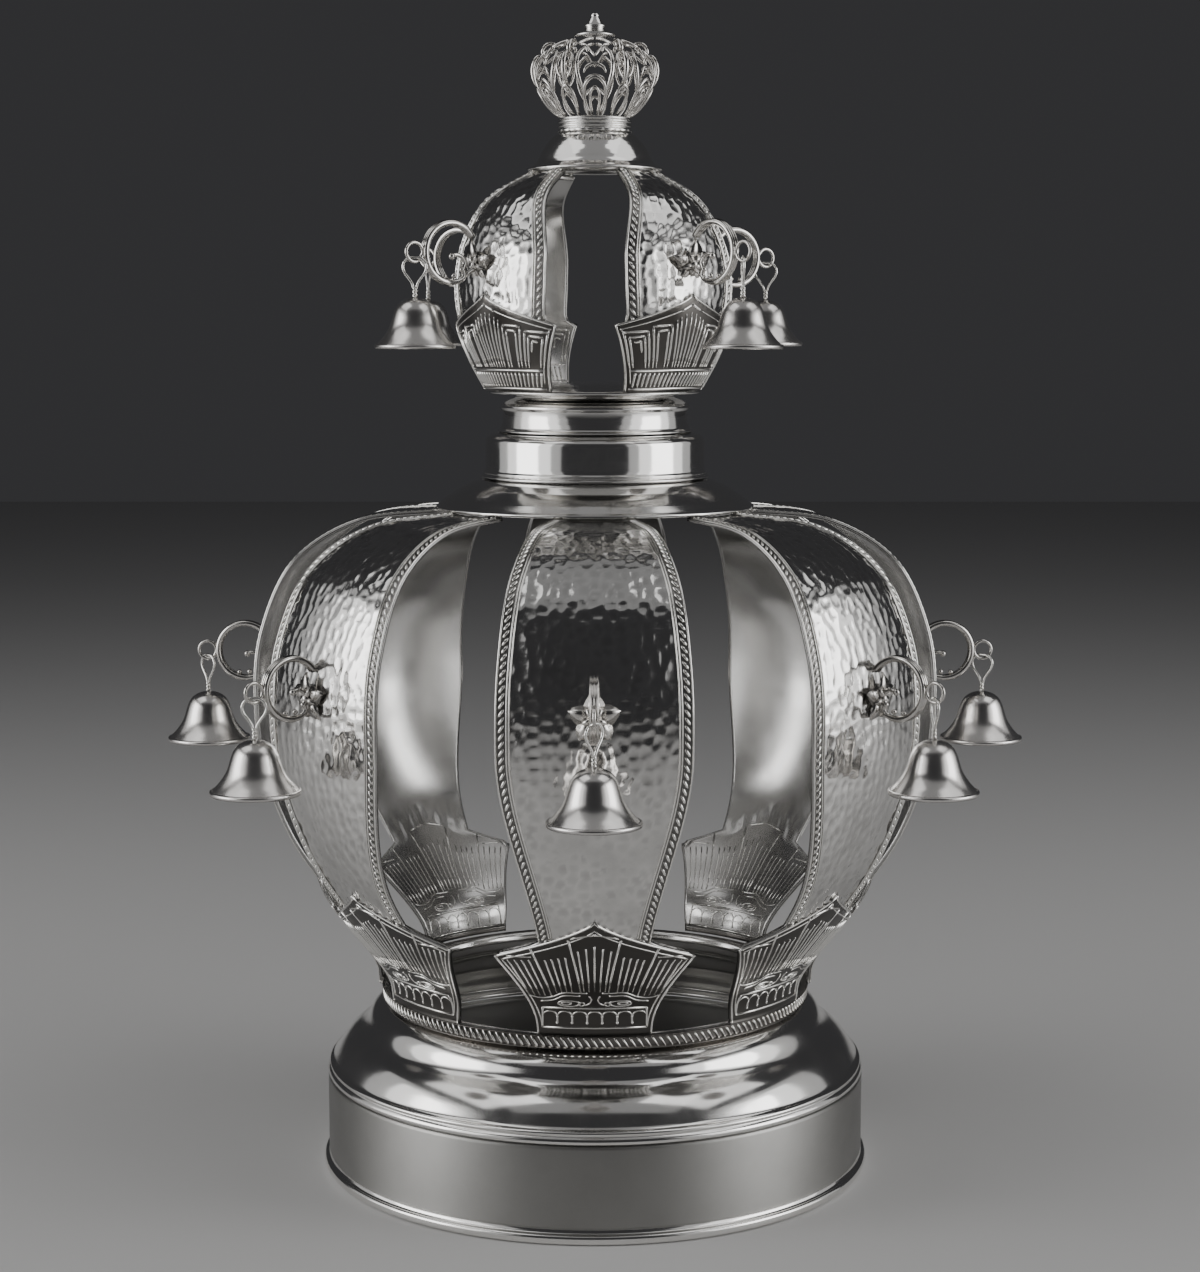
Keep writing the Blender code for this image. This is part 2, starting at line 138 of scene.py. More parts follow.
# ---------------------------------------------------------------- meshes

def make_piece(name, shape, slot, node=None, azimuth=0.0):
    """A mesh object at the origin that rides on the crown's one body and may stand for a CAD node."""
    verts, faces = turned(shape, azimuth)
    mesh = bpy.data.meshes.new(name)
    mesh.from_pydata([tuple(v) for v in verts], [], [tuple(f) for f in faces])
    mesh.validate()
    mesh.shade_smooth()
    piece = bpy.data.objects.new(name, mesh)
    bpy.context.collection.objects.link(piece)
    keep_piece(piece, slot)
    if node:
        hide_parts(node)
    return piece


def keep_piece(piece, slot):
    """Finish a piece, and let it ride; a slot's name may have a variant of its finish after a slash."""
    piece.data.materials.clear()
    piece.data.materials.append(FINISHES[slot])
    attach(piece, "root")


def revolved(outline, segments, wobble=None):
    """Vertices and faces of a closed (radius, height) outline turned round Z."""
    verts, rings, faces = [], [], []
    for radius, height in outline:
        if radius < AXIS:
            rings.append([len(verts)] * segments)
            verts.append((0, 0, height))
            continue
        start = len(verts)
        for k in range(segments):
            turn = 2 * math.pi * k / segments
            grown = radius + (wobble(turn, radius, height) if wobble else 0.0)
            verts.append((grown * math.sin(turn), -grown * math.cos(turn), height))
        rings.append(list(range(start, start + segments)))
    for ring, after in zip(rings, rings[1:] + rings[:1]):
        for k in range(segments):
            n = (k + 1) % segments
            corners = list(dict.fromkeys((ring[k], ring[n], after[n], after[k])))
            if len(corners) > 2:
                faces.append(corners)
    return verts, faces


def shell_outline(outer, wall):
    """Outer curve climbing on the outside, and its copy one wall further in."""
    p = np.array(outer, float)
    along = np.gradient(p, axis=0)
    along /= np.maximum(np.linalg.norm(along, axis=1), 1e-12)[:, None]
    inner = p + wall * np.stack([-along[:, 1], along[:, 0]], axis=1)
    inner[:, 0] = np.maximum(inner[:, 0], 0.0)
    inner = np.vstack([inner[:-1:3], inner[-1:]])
    return [tuple(q) for q in p] + [tuple(q) for q in inner[::-1]]


def facing_out(verts, faces):
    """Turn all faces round if the closed shape they make has a negative volume."""
    v = np.array(verts, float)
    volume = 0.0
    for f in faces:
        for i in range(1, len(f) - 1):
            volume += np.dot(v[f[0]], np.cross(v[f[i]], v[f[i + 1]]))
    return [tuple(reversed(f)) for f in faces] if volume < 0 else [tuple(f) for f in faces]


def tube(path, section, across, closed=False):
    """Sweep a section of (sideways, outward) offsets along a path whose fourth column may scale it."""
    p = np.array([q[:3] for q in path], float)
    count, sides = len(p), len(section)
    along = np.roll(p, -1, 0) - np.roll(p, 1, 0) if closed else np.gradient(p, axis=0)
    along /= np.linalg.norm(along, axis=1)[:, None]
    across = np.broadcast_to(np.array(across, float), p.shape)
    verts, faces = [], []
    for i in range(count):
        side = across[i] - along[i] * np.dot(across[i], along[i])
        side = side / np.linalg.norm(side)
        up = np.cross(side, along[i])
        size = path[i][3] if len(path[i]) > 3 else 1.0
        verts += [p[i] + size * (a * side + b * up) for a, b in section]
    for i in range(count if closed else count - 1):
        j = (i + 1) % count
        for k in range(sides):
            n = (k + 1) % sides
            faces.append((i * sides + k, i * sides + n, j * sides + n, j * sides + k))
    if not closed:
        faces.append(tuple(range(sides))[::-1])
        faces.append(tuple((count - 1) * sides + k for k in range(sides)))
    return verts, facing_out(verts, faces)


def ring_section(radius, sides=8, flat=1.0):
    """A round section, or a flattened one."""
    turns = [2 * math.pi * k / sides for k in range(sides)]
    return [(radius * math.cos(t), flat * radius * math.sin(t)) for t in turns]


def ball(centre, radius, sides=12, rings=8, squash=1.0, axis=None):
    """A closed ball, squashed along an axis."""
    centre = np.array(centre, float)
    verts, faces = [], []
    axis = np.array(axis if axis is not None else (0, 0, 1.0), float)
    axis /= np.linalg.norm(axis)
    first = np.cross(axis, (0.3, 0.5, 0.81))
    first /= np.linalg.norm(first)
    second = np.cross(axis, first)
    verts.append(centre - axis * radius * squash)
    for j in range(1, rings):
        fall = math.pi * j / rings
        for k in range(sides):
            turn = 2 * math.pi * k / sides
            verts.append(centre + radius * (math.sin(fall) * (math.cos(turn) * first + math.sin(turn) * second)
                                            - squash * math.cos(fall) * axis))
    verts.append(centre + axis * radius * squash)
    last = len(verts) - 1
    for k in range(sides):
        n = (k + 1) % sides
        faces.append((0, 1 + n, 1 + k))
        faces.append((last, last - sides + k, last - sides + n))
        for j in range(rings - 2):
            a, b = 1 + j * sides, 1 + (j + 1) * sides
            faces.append((a + k, a + n, b + n, b + k))
    return verts, facing_out(verts, faces)


def together(*shapes):
    """Several closed shapes as one mesh."""
    verts, faces = [], []
    for v, f in shapes:
        start = len(verts)
        verts += [tuple(q) for q in v]
        faces += [tuple(start + i for i in face) for face in f]
    return verts, faces


def turned(shape, azimuth):
    """A shape made at azimuth 0, carried round Z."""
    turn = math.radians(azimuth)
    v = np.array(shape[0], float)
    x = v[:, 0] * math.cos(turn) - v[:, 1] * math.sin(turn)
    y = v[:, 0] * math.sin(turn) + v[:, 1] * math.cos(turn)
    return np.stack([x, y, v[:, 2]], axis=1), shape[1]


# ---------------------------------------------------------------- finishes

def add_node(tree, kind, **values):
    """A node with its settings and input values; a value that is another node's output is linked."""
    node = tree.nodes.new(kind)
    for key, value in values.items():
        if key not in node.inputs:
            setattr(node, key, value)
        elif isinstance(value, bpy.types.NodeSocket):
            tree.links.new(value, node.inputs[key])
        else:
            node.inputs[key].default_value = value
    return node


def math_node(tree, operation, *values):
    """The output of a math node on numbers and other outputs, in their order."""
    node = add_node(tree, "ShaderNodeMath", operation=operation)
    for socket, value in zip(node.inputs, values):
        if isinstance(value, float):
            socket.default_value = value
        else:
            tree.links.new(value, socket)
    return node.outputs[0]


def wear_and_shade_group():
    """Handled silver: soft smudges, faint wiping scratches and a tone that drifts a little, plus painted shade
    from the Mask input, which pulls the colour towards Dull.
    """
    group = bpy.data.node_groups.new("silver_wear_and_shade", "ShaderNodeTree")
    face = group.interface
    for name, kind, start in (("Bright", "NodeSocketColor", (0.86, 0.85, 0.83, 1)),
                              ("Dull", "NodeSocketColor", (0.66, 0.63, 0.58, 1)),
                              ("Gloss", "NodeSocketFloat", 0.06), ("Smudge", "NodeSocketFloat", 0.10),
                              ("Mask", "NodeSocketFloat", 0.0)):
        face.new_socket(name, in_out="INPUT", socket_type=kind).default_value = start
    for name, kind in (("Color", "NodeSocketColor"), ("Roughness", "NodeSocketFloat"),
                       ("Height", "NodeSocketFloat")):
        face.new_socket(name, in_out="OUTPUT", socket_type=kind)
    into = group.nodes.new("NodeGroupInput").outputs
    spot = group.nodes.new("ShaderNodeTexCoord").outputs["Object"]
    smudge = add_node(group, "ShaderNodeTexNoise", Vector=spot, Scale=55.0, Detail=5.0, Roughness=0.6)
    squeeze = add_node(group, "ShaderNodeMapping", Vector=spot, Scale=(2600, 2600, 190),
                       Rotation=(0.35, 0.2, 0.6))
    scratch = add_node(group, "ShaderNodeTexNoise", Vector=squeeze.outputs["Vector"], Scale=1.0, Detail=2.0)
    cloud = add_node(group, "ShaderNodeMapRange", Value=smudge.outputs["Fac"],
                     **{"From Min": 0.42, "From Max": 0.72}).outputs["Result"]
    # real smudges and painted shade from the mask both pull the colour towards Dull
    smudge_and_shade = math_node(group, "MAXIMUM", math_node(group, "MULTIPLY", cloud, 0.30), into["Mask"])
    tone = add_node(group, "ShaderNodeMix", data_type="RGBA", Factor=smudge_and_shade)
    group.links.new(into["Bright"], tone.inputs[6])
    group.links.new(into["Dull"], tone.inputs[7])
    rough = math_node(group, "MULTIPLY_ADD", cloud, into["Smudge"], into["Gloss"])
    add_node(group, "NodeGroupOutput", Color=tone.outputs[2], Roughness=rough, Height=scratch.outputs["Fac"])
    return group


def silver(name, wear_and_shade, bright, dull, gloss, smudge, scratch, attribute=None):
    """A silver finish: the shared group of wear and painted shade with its own values, and a little bump; a
    given attribute drives the painted shade and adds roughness.
    """
    finish = bpy.data.materials.new(name)
    finish.use_nodes = True
    tree = finish.node_tree
    shader = tree.nodes["Principled BSDF"].inputs
    shader["Metallic"].default_value = 1.0
    shared = add_node(tree, "ShaderNodeGroup", node_tree=wear_and_shade, Bright=(*bright, 1), Dull=(*dull, 1),
                      Gloss=gloss, Smudge=smudge)
    bump = add_node(tree, "ShaderNodeBump", Strength=scratch, Distance=0.02 * MM,
                    Height=shared.outputs["Height"])
    rough = shared.outputs["Roughness"]
    if attribute:
        painted_shade = add_node(tree, "ShaderNodeAttribute", attribute_name=attribute).outputs["Fac"]
        tree.links.new(painted_shade, shared.inputs["Mask"])
        rough = math_node(tree, "MULTIPLY_ADD", painted_shade, 0.22, rough)
    tree.links.new(shared.outputs["Color"], shader["Base Color"])
    tree.links.new(rough, shader["Roughness"])
    tree.links.new(bump.outputs["Normal"], shader["Normal"])
    return finish


def brushed_silver(name, wear_and_shade):
    """Satin silver with fine lines running round the axis, which spread its highlights up and down."""
    finish = silver(name, wear_and_shade, (0.42, 0.415, 0.40), (0.30, 0.29, 0.28), 0.27, 0.08, 0.1)
    tree = finish.node_tree
    shader = tree.nodes["Principled BSDF"].inputs
    shader["Anisotropic"].default_value = 0.85
    shader["Anisotropic Rotation"].default_value = 0.25
    spot = tree.nodes.new("ShaderNodeTexCoord").outputs["Object"]
    stretch = add_node(tree, "ShaderNodeMapping", Vector=spot, Scale=(22, 22, 5200)).outputs["Vector"]
    lines = add_node(tree, "ShaderNodeTexNoise", Vector=stretch, Scale=1.0, Detail=4.0, Roughness=0.7)
    lines = lines.outputs["Fac"]
    bump = add_node(tree, "ShaderNodeBump", Strength=0.35, Distance=0.03 * MM, Height=lines)
    spread = add_node(tree, "ShaderNodeMapRange", Value=lines, **{"To Min": 0.34, "To Max": 0.48})
    tree.links.new(bump.outputs["Normal"], shader["Normal"])
    tree.links.new(spread.outputs["Result"], shader["Roughness"])
    return finish


WEAR_AND_SHADE = wear_and_shade_group()
FINISHES = {"satin_silver": brushed_silver("satin_silver_finish", WEAR_AND_SHADE)}
for slot_name, label, *finish_values in (
        ("polished_silver", "polished", (0.86, 0.85, 0.83), (0.70, 0.67, 0.62), 0.10, 0.09, 0.10),
        ("polished_silver/wire", "wire", (0.88, 0.87, 0.84), (0.66, 0.63, 0.58), 0.10, 0.10, 0.12),
        ("polished_silver/cast", "cast", (0.70, 0.68, 0.65), (0.20, 0.18, 0.16), 0.13, 0.12, 0.18),
        # near-black finish for the rope ring's core: painted shade between the rope strokes
        ("polished_silver/dark", "rope_shade", (0.20, 0.19, 0.18), (0.12, 0.11, 0.10), 0.24, 0.10, 0.10),
        ("polished_silver/bell", "bell", (0.74, 0.72, 0.70), (0.56, 0.53, 0.50), 0.21, 0.08, 0.10),
        # the hammered finish's near-black dull colour is painted shade, mixed in by its per-point shade
        # attribute
        ("hammered_silver", "hammered", (0.84, 0.83, 0.81), (0.07, 0.065, 0.06), 0.09, 0.07, 0.12, "painted_shade")):
    FINISHES[slot_name] = silver(f"{label}_silver_finish", WEAR_AND_SHADE, *finish_values)


# ---------------------------------------------------------------- hammered panels

def ease(value):
    value = np.clip(value, 0.0, 1.0)
    return value * value * (3 - 2 * value)


def prepare(spec):
    """Work out the meridian's points and slopes, and the height where the plaque meets the leaf."""
    spec["meridian"] = smooth_curve(spec["curve"])
    spec["slope"] = np.gradient(*spec["meridian"], axis=0)
    drop = (spec["neck_angle"] / spec["ear_angle"]) ** TOP_EDGE_POWER
    spec["join"] = spec["apex"] - (spec["apex"] - spec["ear"]) * drop


def half_angle(height, spec):
    """Half the panel's spread in degrees at a height: plaque sides, ears, then the leaf."""
    z = np.asarray(height, float)
    foot, ear, apex, join = (spec[key] for key in ("foot", "ear", "apex", "join"))
    share = np.clip((z - foot) / (ear - foot), 0, 1)
    sides = spec["foot_angle"] + (spec["ear_angle"] - spec["foot_angle"]) * share ** SIDE_POWER
    drop = np.clip((apex - z) / (apex - ear), 0, 1)
    shoulder = np.maximum(spec["ear_angle"] * drop ** (1 / TOP_EDGE_POWER), spec["neck_angle"])
    rise = ease((z - join) / (spec["wide_height"] - join))
    fall = ease((z - spec["taper_height"]) / (spec["top_height"] - spec["taper_height"]))
    leaf = (spec["neck_angle"] + (spec["wide_angle"] - spec["neck_angle"]) * rise
            + (spec["top_angle"] - spec["wide_angle"]) * fall)
    return np.where(z <= ear, sides, np.where(z <= join, shoulder, leaf))


def hammer_marks(x, y, pitch, dent, seed):
    """Shallow overlapping dents, one by each point of a jittered grid."""
    rng = np.random.default_rng(seed)
    size = 128
    jitter = rng.uniform(-0.42, 0.42, (size, size, 2))
    depth = rng.uniform(0.55, 1.0, (size, size))
    column, row = np.floor(x / pitch).astype(int), np.floor(y / pitch).astype(int)
    nearest = np.full(x.shape, 9.0)
    second = np.full(x.shape, 9.0)
    weight = np.zeros(x.shape)
    for i in (-1, 0, 1):
        for j in (-1, 0, 1):
            a, b = (column + i) % size, (row + j) % size
            dx = (column + i + 0.5 + jitter[a, b, 0]) - x / pitch
            dy = (row + j + 0.5 + jitter[a, b, 1]) - y / pitch
            far = np.hypot(dx, dy)
            closer = far < nearest
            second = np.where(closer, nearest, np.minimum(second, far))
            weight = np.where(closer, depth[a, b], weight)
            nearest = np.where(closer, far, nearest)
    bowl = 1 - np.clip(nearest / 0.78, 0, 1) ** 2
    rim = ease((second - nearest) / 0.30)
    return -dent * weight * bowl * rim


def plaque_spread(spec, z):
    """Half the plaque's spread in degrees, carried on smoothly above its ears."""
    share = np.clip((z - spec["foot"]) / (spec["ear"] - spec["foot"]), 0, 1.35)
    return spec["foot_angle"] + (spec["ear_angle"] - spec["foot_angle"]) * share ** SIDE_POWER


def on_panel(spec, azimuth, z, lift):
    """Points on the sheet at azimuths in radians, lifted along their outward normals, and these normals."""
    meridian, slope = spec["meridian"][0], spec["slope"]
    radius, out_r, out_z = (np.interp(z, meridian[:, 1], row)
                            for row in (meridian[:, 0], slope[:, 1], -slope[:, 0]))
    outward = np.stack([out_r * np.sin(azimuth), -out_r * np.cos(azimuth), out_z], axis=-1)
    place = np.stack([radius * np.sin(azimuth), -radius * np.cos(azimuth), z], axis=-1)
    return place + lift * outward, outward


def sheet_line(spec, azimuth, z, wire, lift):
    """A raised line on the sheet through azimuths and heights; the print inside is coarser."""
    place, outward = on_panel(spec, azimuth, z, lift)
    along = np.gradient(place, axis=0)
    return tube(place, ring_section(wire, 6 if lift > 0 else 4), np.cross(along, outward))


def straight(points):
    """Evenly spaced points between the first two."""
    p = np.array(points[:2], float)
    return p[0] + (p[1] - p[0]) * np.linspace(0, 1, STRAIGHT_POINTS)[:, None]


def shares_to_line(spec, points, wire, lift, curved=False):
    """A raised line through (share of the plaque's half width, height in mm) points."""
    if curved:
        even = smooth_curve([(w * SHARE_SCALE, z) for w, z in points], 4 * len(points))[0]
        even[:, 0] /= SHARE_SCALE
    else:
        even = straight(points)
    z = even[:, 1] * MM
    return sheet_line(spec, np.radians(even[:, 0] * plaque_spread(spec, z)), z, wire, lift)


def offset_line(spec, points, wire, lift, curved=True):
    """A raised line through (sideways, height) points in millimetres from the plaque's middle."""
    even = smooth_curve(points, 2 * len(points) + 6)[0] if curved else straight(points)
    z = even[:, 1] * MM
    meridian = spec["meridian"][0]
    azimuth = even[:, 0] * MM / np.interp(z, meridian[:, 1], meridian[:, 0])
    return sheet_line(spec, azimuth, z, wire, lift)


def ring_points(x, z, half_width, half_height, count=13, sweep=360.0):
    """Points once round an ellipse, or part of the way, from its right-hand end."""
    turns = np.radians(sweep * np.arange(count) / (count - 1))
    return [(x + half_width * math.cos(t), z + half_height * math.sin(t)) for t in turns]


def border_lines(spec, lift):
    """Double lines along the plaque's sides and under its pointed top."""
    lines = []
    foot, ear, apex = spec["foot"], spec["ear"], spec["apex"]
    shape = spec["meridian"][0]
    for side in (-1, 1):
        for inset, low, high, wire in ((0.35 * MM, foot + 0.4 * MM, ear, 0.36 * MM),
                                       (1.75 * MM, foot + 2.5 * MM, ear - 1.5 * MM, 0.27 * MM)):
            z = np.linspace(low, high, 22)
            turn = np.radians(half_angle(z, spec)) - inset / np.interp(z, shape[:, 1], shape[:, 0])
            lines.append(sheet_line(spec, side * turn, z, wire, lift))
    for drop, grow, reach, wire in ((0.3 * MM, 0.0, 0.985, 0.38 * MM), (1.7 * MM, 1.2 * MM, 0.93, 0.27 * MM)):
        for side in (-1, 1):
            t = np.linspace(0, reach, 24)
            z = apex - (apex - ear) * t ** TOP_EDGE_POWER - drop - grow * (1 - t)
            lines.append(sheet_line(spec, side * np.radians(t * spec["ear_angle"]), z, wire, lift))
    return lines


def lower_plaque(spec, lift):
    """Fans of raised lines over two leaf scrolls and a frame of small arches."""
    fine, bold = 0.31 * MM, 0.39 * MM
    lines = []

    def fan(wire, *points, curved=False):
        lines.append(shares_to_line(spec, points, wire, lift, curved))

    def drawn(wire, points, curved=True):
        lines.append(offset_line(spec, points, wire, lift, curved))

    for w in (-0.15, -0.075, 0.0, 0.075, 0.15):
        fan(fine, (0.93 * w, 74.7), (w, 91.4 - 12 * abs(w)))
    for side in (-1, 1):
        fan(bold, (side * 0.185, 74.1), (side * 0.212, 93.6))
        fan(bold, (side * 0.19, 94.2), (0.0, 95.7))
        for w in (0.28, 0.35, 0.42, 0.49):
            fan(fine, (side * (w + 0.02), 74.3), (side * w, 88.8 - 5.5 * w))
        fan(bold, (side * 0.60, 72.9), (side * 0.57, 90.3))
        for w in (0.655, 0.73, 0.805, 0.88):
            fan(fine, (side * (w + 0.035), 72.8), (side * w, 86.0 - 2.0 * (w - 0.6)))
        fan(fine, (side * 0.61, 87.0), (side * 0.86, 86.9))
        for stem in (((0.10, 74.0), (0.19, 74.0), (0.40, 74.1), (0.60, 72.4), (0.78, 71.9), (0.93, 72.7)),
                     ((0.20, 72.9), (0.42, 72.9), (0.60, 71.2), (0.80, 70.6))):
            fan(fine, *((side * w, z) for w, z in stem), curved=True)
        drawn(fine, ring_points(side * 7.6, LEAF_HEIGHT, 3.3, 1.05))
        drawn(fine, ring_points(side * 8.4, LEAF_HEIGHT, 1.5, 0.45))
        drawn(fine, ring_points(side * 3.9, LEAF_HEIGHT - 0.2, 0.9, 0.65))
        drawn(fine, [(side * x, z) for x, z in ((1.6, 72.8), (1.0, 71.4), (1.5, 70.1), (2.8, 69.4))])
        drawn(bold, [(side * FRAME_HALF, FRAME_LOW), (side * FRAME_HALF, FRAME_HIGH)], False)
    for level in (FRAME_LOW, FRAME_HIGH):
        drawn(bold, [(-FRAME_HALF, level), (FRAME_HALF, level)], False)
    pitch = 2 * FRAME_HALF / FRAME_ARCHES
    for k in range(FRAME_ARCHES):
        middle = (k - (FRAME_ARCHES - 1) / 2) * pitch
        drawn(fine, ring_points(middle, 65.0, 0.5 * pitch, 2.0, 9, 180))
        if k < FRAME_ARCHES - 1:
            stem = middle + 0.5 * pitch
            drawn(bold, [(stem, 65.4), (stem, 62.8)], False)
            azimuth = stem * MM / spec["meridian"][0][0, 0]
            spot = on_panel(spec, np.array([azimuth]), np.array([62.9 * MM]), lift)[0]
            lines.append(ball(spot[0], 0.5 * MM, 8, 5))
    return lines


def upper_plaque(spec, lift):
    """Nested frames on each side of a centre fan, over a band of short bars."""
    fine, bold = 0.36 * MM, 0.44 * MM
    frame_foot = 258.2
    lines = []

    def fan(wire, *points, curved=False):
        lines.append(shares_to_line(spec, points, wire, lift, curved))

    for side in (-1, 1):
        for low, high, top, levels in ((0.60, 0.92, 269.0, 3), (0.27, 0.53, 270.8, 2)):
            for level in range(levels):
                near, far = side * (low + 0.058 * level), side * (high - 0.058 * level)
                roof = top - 1.45 * level
                foot = frame_foot if level < 2 else roof - 3.4
                fan(bold, (near, foot), (near, roof))
                fan(bold, (near, roof), (far, roof - 0.4))
                if level < 2:
                    fan(bold, (far, roof - 0.4), (far, foot))
        for w in (0.075, 0.145, 0.205):
            fan(fine, (side * 0.85 * w, frame_foot), (side * w, 275.2 - 14 * w))
        fan(bold, (side * 0.15, 274.9), (0.0, 276.9))
    fan(fine, (0.0, frame_foot), (0.0, 274.6))
    for level in (251.6, 257.2):
        fan(bold, *((w, level) for w in (-0.92, -0.3, 0.3, 0.92)), curved=True)
    for k in range(-10, 11):
        fan(bold, (0.084 * k - 0.012, 252.3), (0.084 * k + 0.022, 256.5))
    return lines


def plaque_lines(name, spec, azimuth, plaque):
    """The raised lines of a plaque outside, and their softer print inside."""
    outside = EMBOSS - LINE_SINK
    inside = PRINT_SHARE * EMBOSS - SHEET + 0.10 * MM
    shapes = border_lines(spec, outside) + plaque(spec, outside) + plaque(spec, inside)
    make_piece(name, together(*shapes), "polished_silver/wire", azimuth=azimuth)


def panel_grid(spec, s, u):
    """Positions, outward directions and flat coordinates for rows s (along) and columns u (across)."""
    meridian, length = spec["meridian"]
    s = s[:, None] * np.ones(len(u))
    z = np.interp(s, length, meridian[:, 1])
    turn = np.radians(half_angle(z, spec)) * u
    place, outward = on_panel(spec, turn, z, 0.0)
    return place, outward, np.interp(s, length, meridian[:, 0]) * turn, s, z, turn


def panel_relief(spec, x, y, z, turn, u, seed):
    """How far the outer face stands proud of the plain sheet, and how much painted shade darkens its plaque
    ground, gutters and hammer hollows.
    """
    radius = np.interp(z, spec["meridian"][0][:, 1], spec["meridian"][0][:, 0])
    edge = (1 - np.abs(u)[None, :]) * np.radians(half_angle(z, spec)) * radius
    share = np.clip(np.abs(np.degrees(turn)) / spec["ear_angle"], 0, 1)
    top = spec["apex"] - (spec["apex"] - spec["ear"]) * share ** TOP_EDGE_POWER
    below = (top - z) * 1.12
    in_plaque = ease(below / (0.7 * MM) + 0.5)
    marks = hammer_marks(x + 0.3, y, spec["dimple"], spec["dent"], seed)
    field = ease((edge - 1.15 * EDGING_WIDTH) / (1.0 * MM)) * ease((-below - 0.2 * MM) / (1.6 * MM))
    half_edging = 0.6 * EDGING_WIDTH
    gutter = (1 - in_plaque) * ease(1.6 - np.abs(edge - half_edging) / half_edging)
    hollow = HOLLOW_SHADE * field * marks / -spec["dent"]
    painted_shade = np.maximum(np.maximum(PLAQUE_SHADE * in_plaque, GUTTER_SHADE * gutter), hollow)
    return EMBOSS * in_plaque + marks * field, painted_shade


def stitch(front, back):
    """Faces that close the gap between a fine border and one with half as many points."""
    faces = []
    count = len(back)
    for k in range(count):
        n = (k + 1) % count
        a, b, c = front[2 * k], front[2 * k + 1], front[(2 * k + 2) % len(front)]
        faces += [(back[k], a, b), (back[k], b, back[n]), (back[n], b, c)]
    return faces


def grid_index(rows, columns, start):
    """The numbers of a grid's points."""
    return np.arange(rows * columns).reshape(rows, columns) + start


def border_of(index):
    """The outer points of a grid, once round."""
    return list(index[0, :-1]) + list(index[:-1, -1]) + list(index[-1, :0:-1]) + list(index[:0:-1, 0])


def grid_faces(index):
    """The four-sided faces of a grid; they face the other way if it is given transposed."""
    corners = [index[:-1, :-1], index[:-1, 1:], index[1:, 1:], index[1:, :-1]]
    return [tuple(face) for face in np.stack(corners, axis=2).reshape(-1, 4)]


def hammered_panel(name, node, spec, azimuth, seed):
    """One panel: dented and chased outside, plainer inside, with a closed rim."""
    meridian, length = spec["meridian"]
    ear_end = np.interp(spec["apex"] + 1.0 * MM, meridian[:, 1], length)
    s = np.concatenate([np.linspace(0, ear_end, spec["plaque_rows"], endpoint=False),
                        np.linspace(ear_end, length[-1], spec["leaf_rows"] + 1)])
    u = np.linspace(-1, 1, spec["columns"] + 1)
    place, outward, x, y, z, turn = panel_grid(spec, s, u)
    relief, painted_shade = panel_relief(spec, x, y, z, turn, u, seed)
    front = place + outward * relief[:, :, None]
    coarse = (slice(None, None, 2), slice(None, None, 2))
    in_plaque = relief[coarse] * (z[coarse] < spec["apex"])
    back = place[coarse] + outward[coarse] * (PRINT_SHARE * in_plaque - SHEET)[:, :, None]
    outer = grid_index(*front.shape[:2], 0)
    inner = grid_index(*back.shape[:2], outer.size)
    rim = stitch(border_of(outer), border_of(inner))
    faces = grid_faces(outer) + grid_faces(inner.T) + [tuple(reversed(f)) for f in rim]
    verts = np.vstack([front.reshape(-1, 3), back.reshape(-1, 3)])
    piece = make_piece(name, (verts, faces), "hammered_silver", node, azimuth)
    # painted shade per point: darkens the plaque ground, gutters, hammer hollows and inner face towards the
    # hammered finish's near-black colour
    tone = piece.data.attributes.new("painted_shade", "FLOAT", "POINT")
    inside = np.full(inner.size, INSIDE_SHADE)
    tone.data.foreach_set("value", np.concatenate([painted_shade.ravel(), inside]).astype(np.float32))


# ---------------------------------------------------------------- rope edging

def stroke_tree():
    """Place one slanted bead at every point, standing on its 'out' and lying along its 'along'."""
    tree = bpy.data.node_groups.new("slanted_beads", "GeometryNodeTree")
    face = tree.interface
    face.new_socket("Geometry", in_out="INPUT", socket_type="NodeSocketGeometry")
    for name, start in (("Length", 0.003), ("Width", 0.001), ("Height", 0.0006), ("Slant", 0.7)):
        face.new_socket(name, in_out="INPUT", socket_type="NodeSocketFloat").default_value = start
    face.new_socket("Finish", in_out="INPUT", socket_type="NodeSocketMaterial")
    face.new_socket("Geometry", in_out="OUTPUT", socket_type="NodeSocketGeometry")
    into = tree.nodes.new("NodeGroupInput").outputs
    bead = add_node(tree, "GeometryNodeMeshUVSphere", Segments=6, Rings=4, Radius=0.5)
    size = add_node(tree, "ShaderNodeCombineXYZ", X=into["Length"], Y=into["Width"], Z=into["Height"])
    shape = add_node(tree, "GeometryNodeTransform", Geometry=bead.outputs["Mesh"],
                     Scale=size.outputs["Vector"])
    outward, along = (add_node(tree, "GeometryNodeInputNamedAttribute", data_type="FLOAT_VECTOR", Name=name)
                      for name in ("out", "along"))
    stand = add_node(tree, "FunctionNodeAlignRotationToVector", axis="Z", Vector=outward.outputs["Attribute"])
    lie = add_node(tree, "FunctionNodeAlignRotationToVector", axis="X", pivot_axis="Z",
                   Rotation=stand.outputs["Rotation"], Vector=along.outputs["Attribute"])
    lean = add_node(tree, "FunctionNodeAxisAngleToRotation", Axis=(0, 0, 1), Angle=into["Slant"])
    rotate = add_node(tree, "FunctionNodeRotateRotation", rotation_space="LOCAL",
                      Rotation=lie.outputs["Rotation"], **{"Rotate By": lean.outputs["Rotation"]})
    spread = add_node(tree, "GeometryNodeInstanceOnPoints", Points=into["Geometry"],
                      Instance=shape.outputs["Geometry"], Rotation=rotate.outputs["Rotation"])
    real = add_node(tree, "GeometryNodeRealizeInstances", Geometry=spread.outputs["Instances"])
    smooth = add_node(tree, "GeometryNodeSetShadeSmooth", Geometry=real.outputs["Geometry"])
    finish = add_node(tree, "GeometryNodeSetMaterial", Geometry=smooth.outputs["Geometry"],
                      Material=into["Finish"])
    add_node(tree, "NodeGroupOutput", Geometry=finish.outputs["Geometry"])
    return tree


BEADS = stroke_tree()


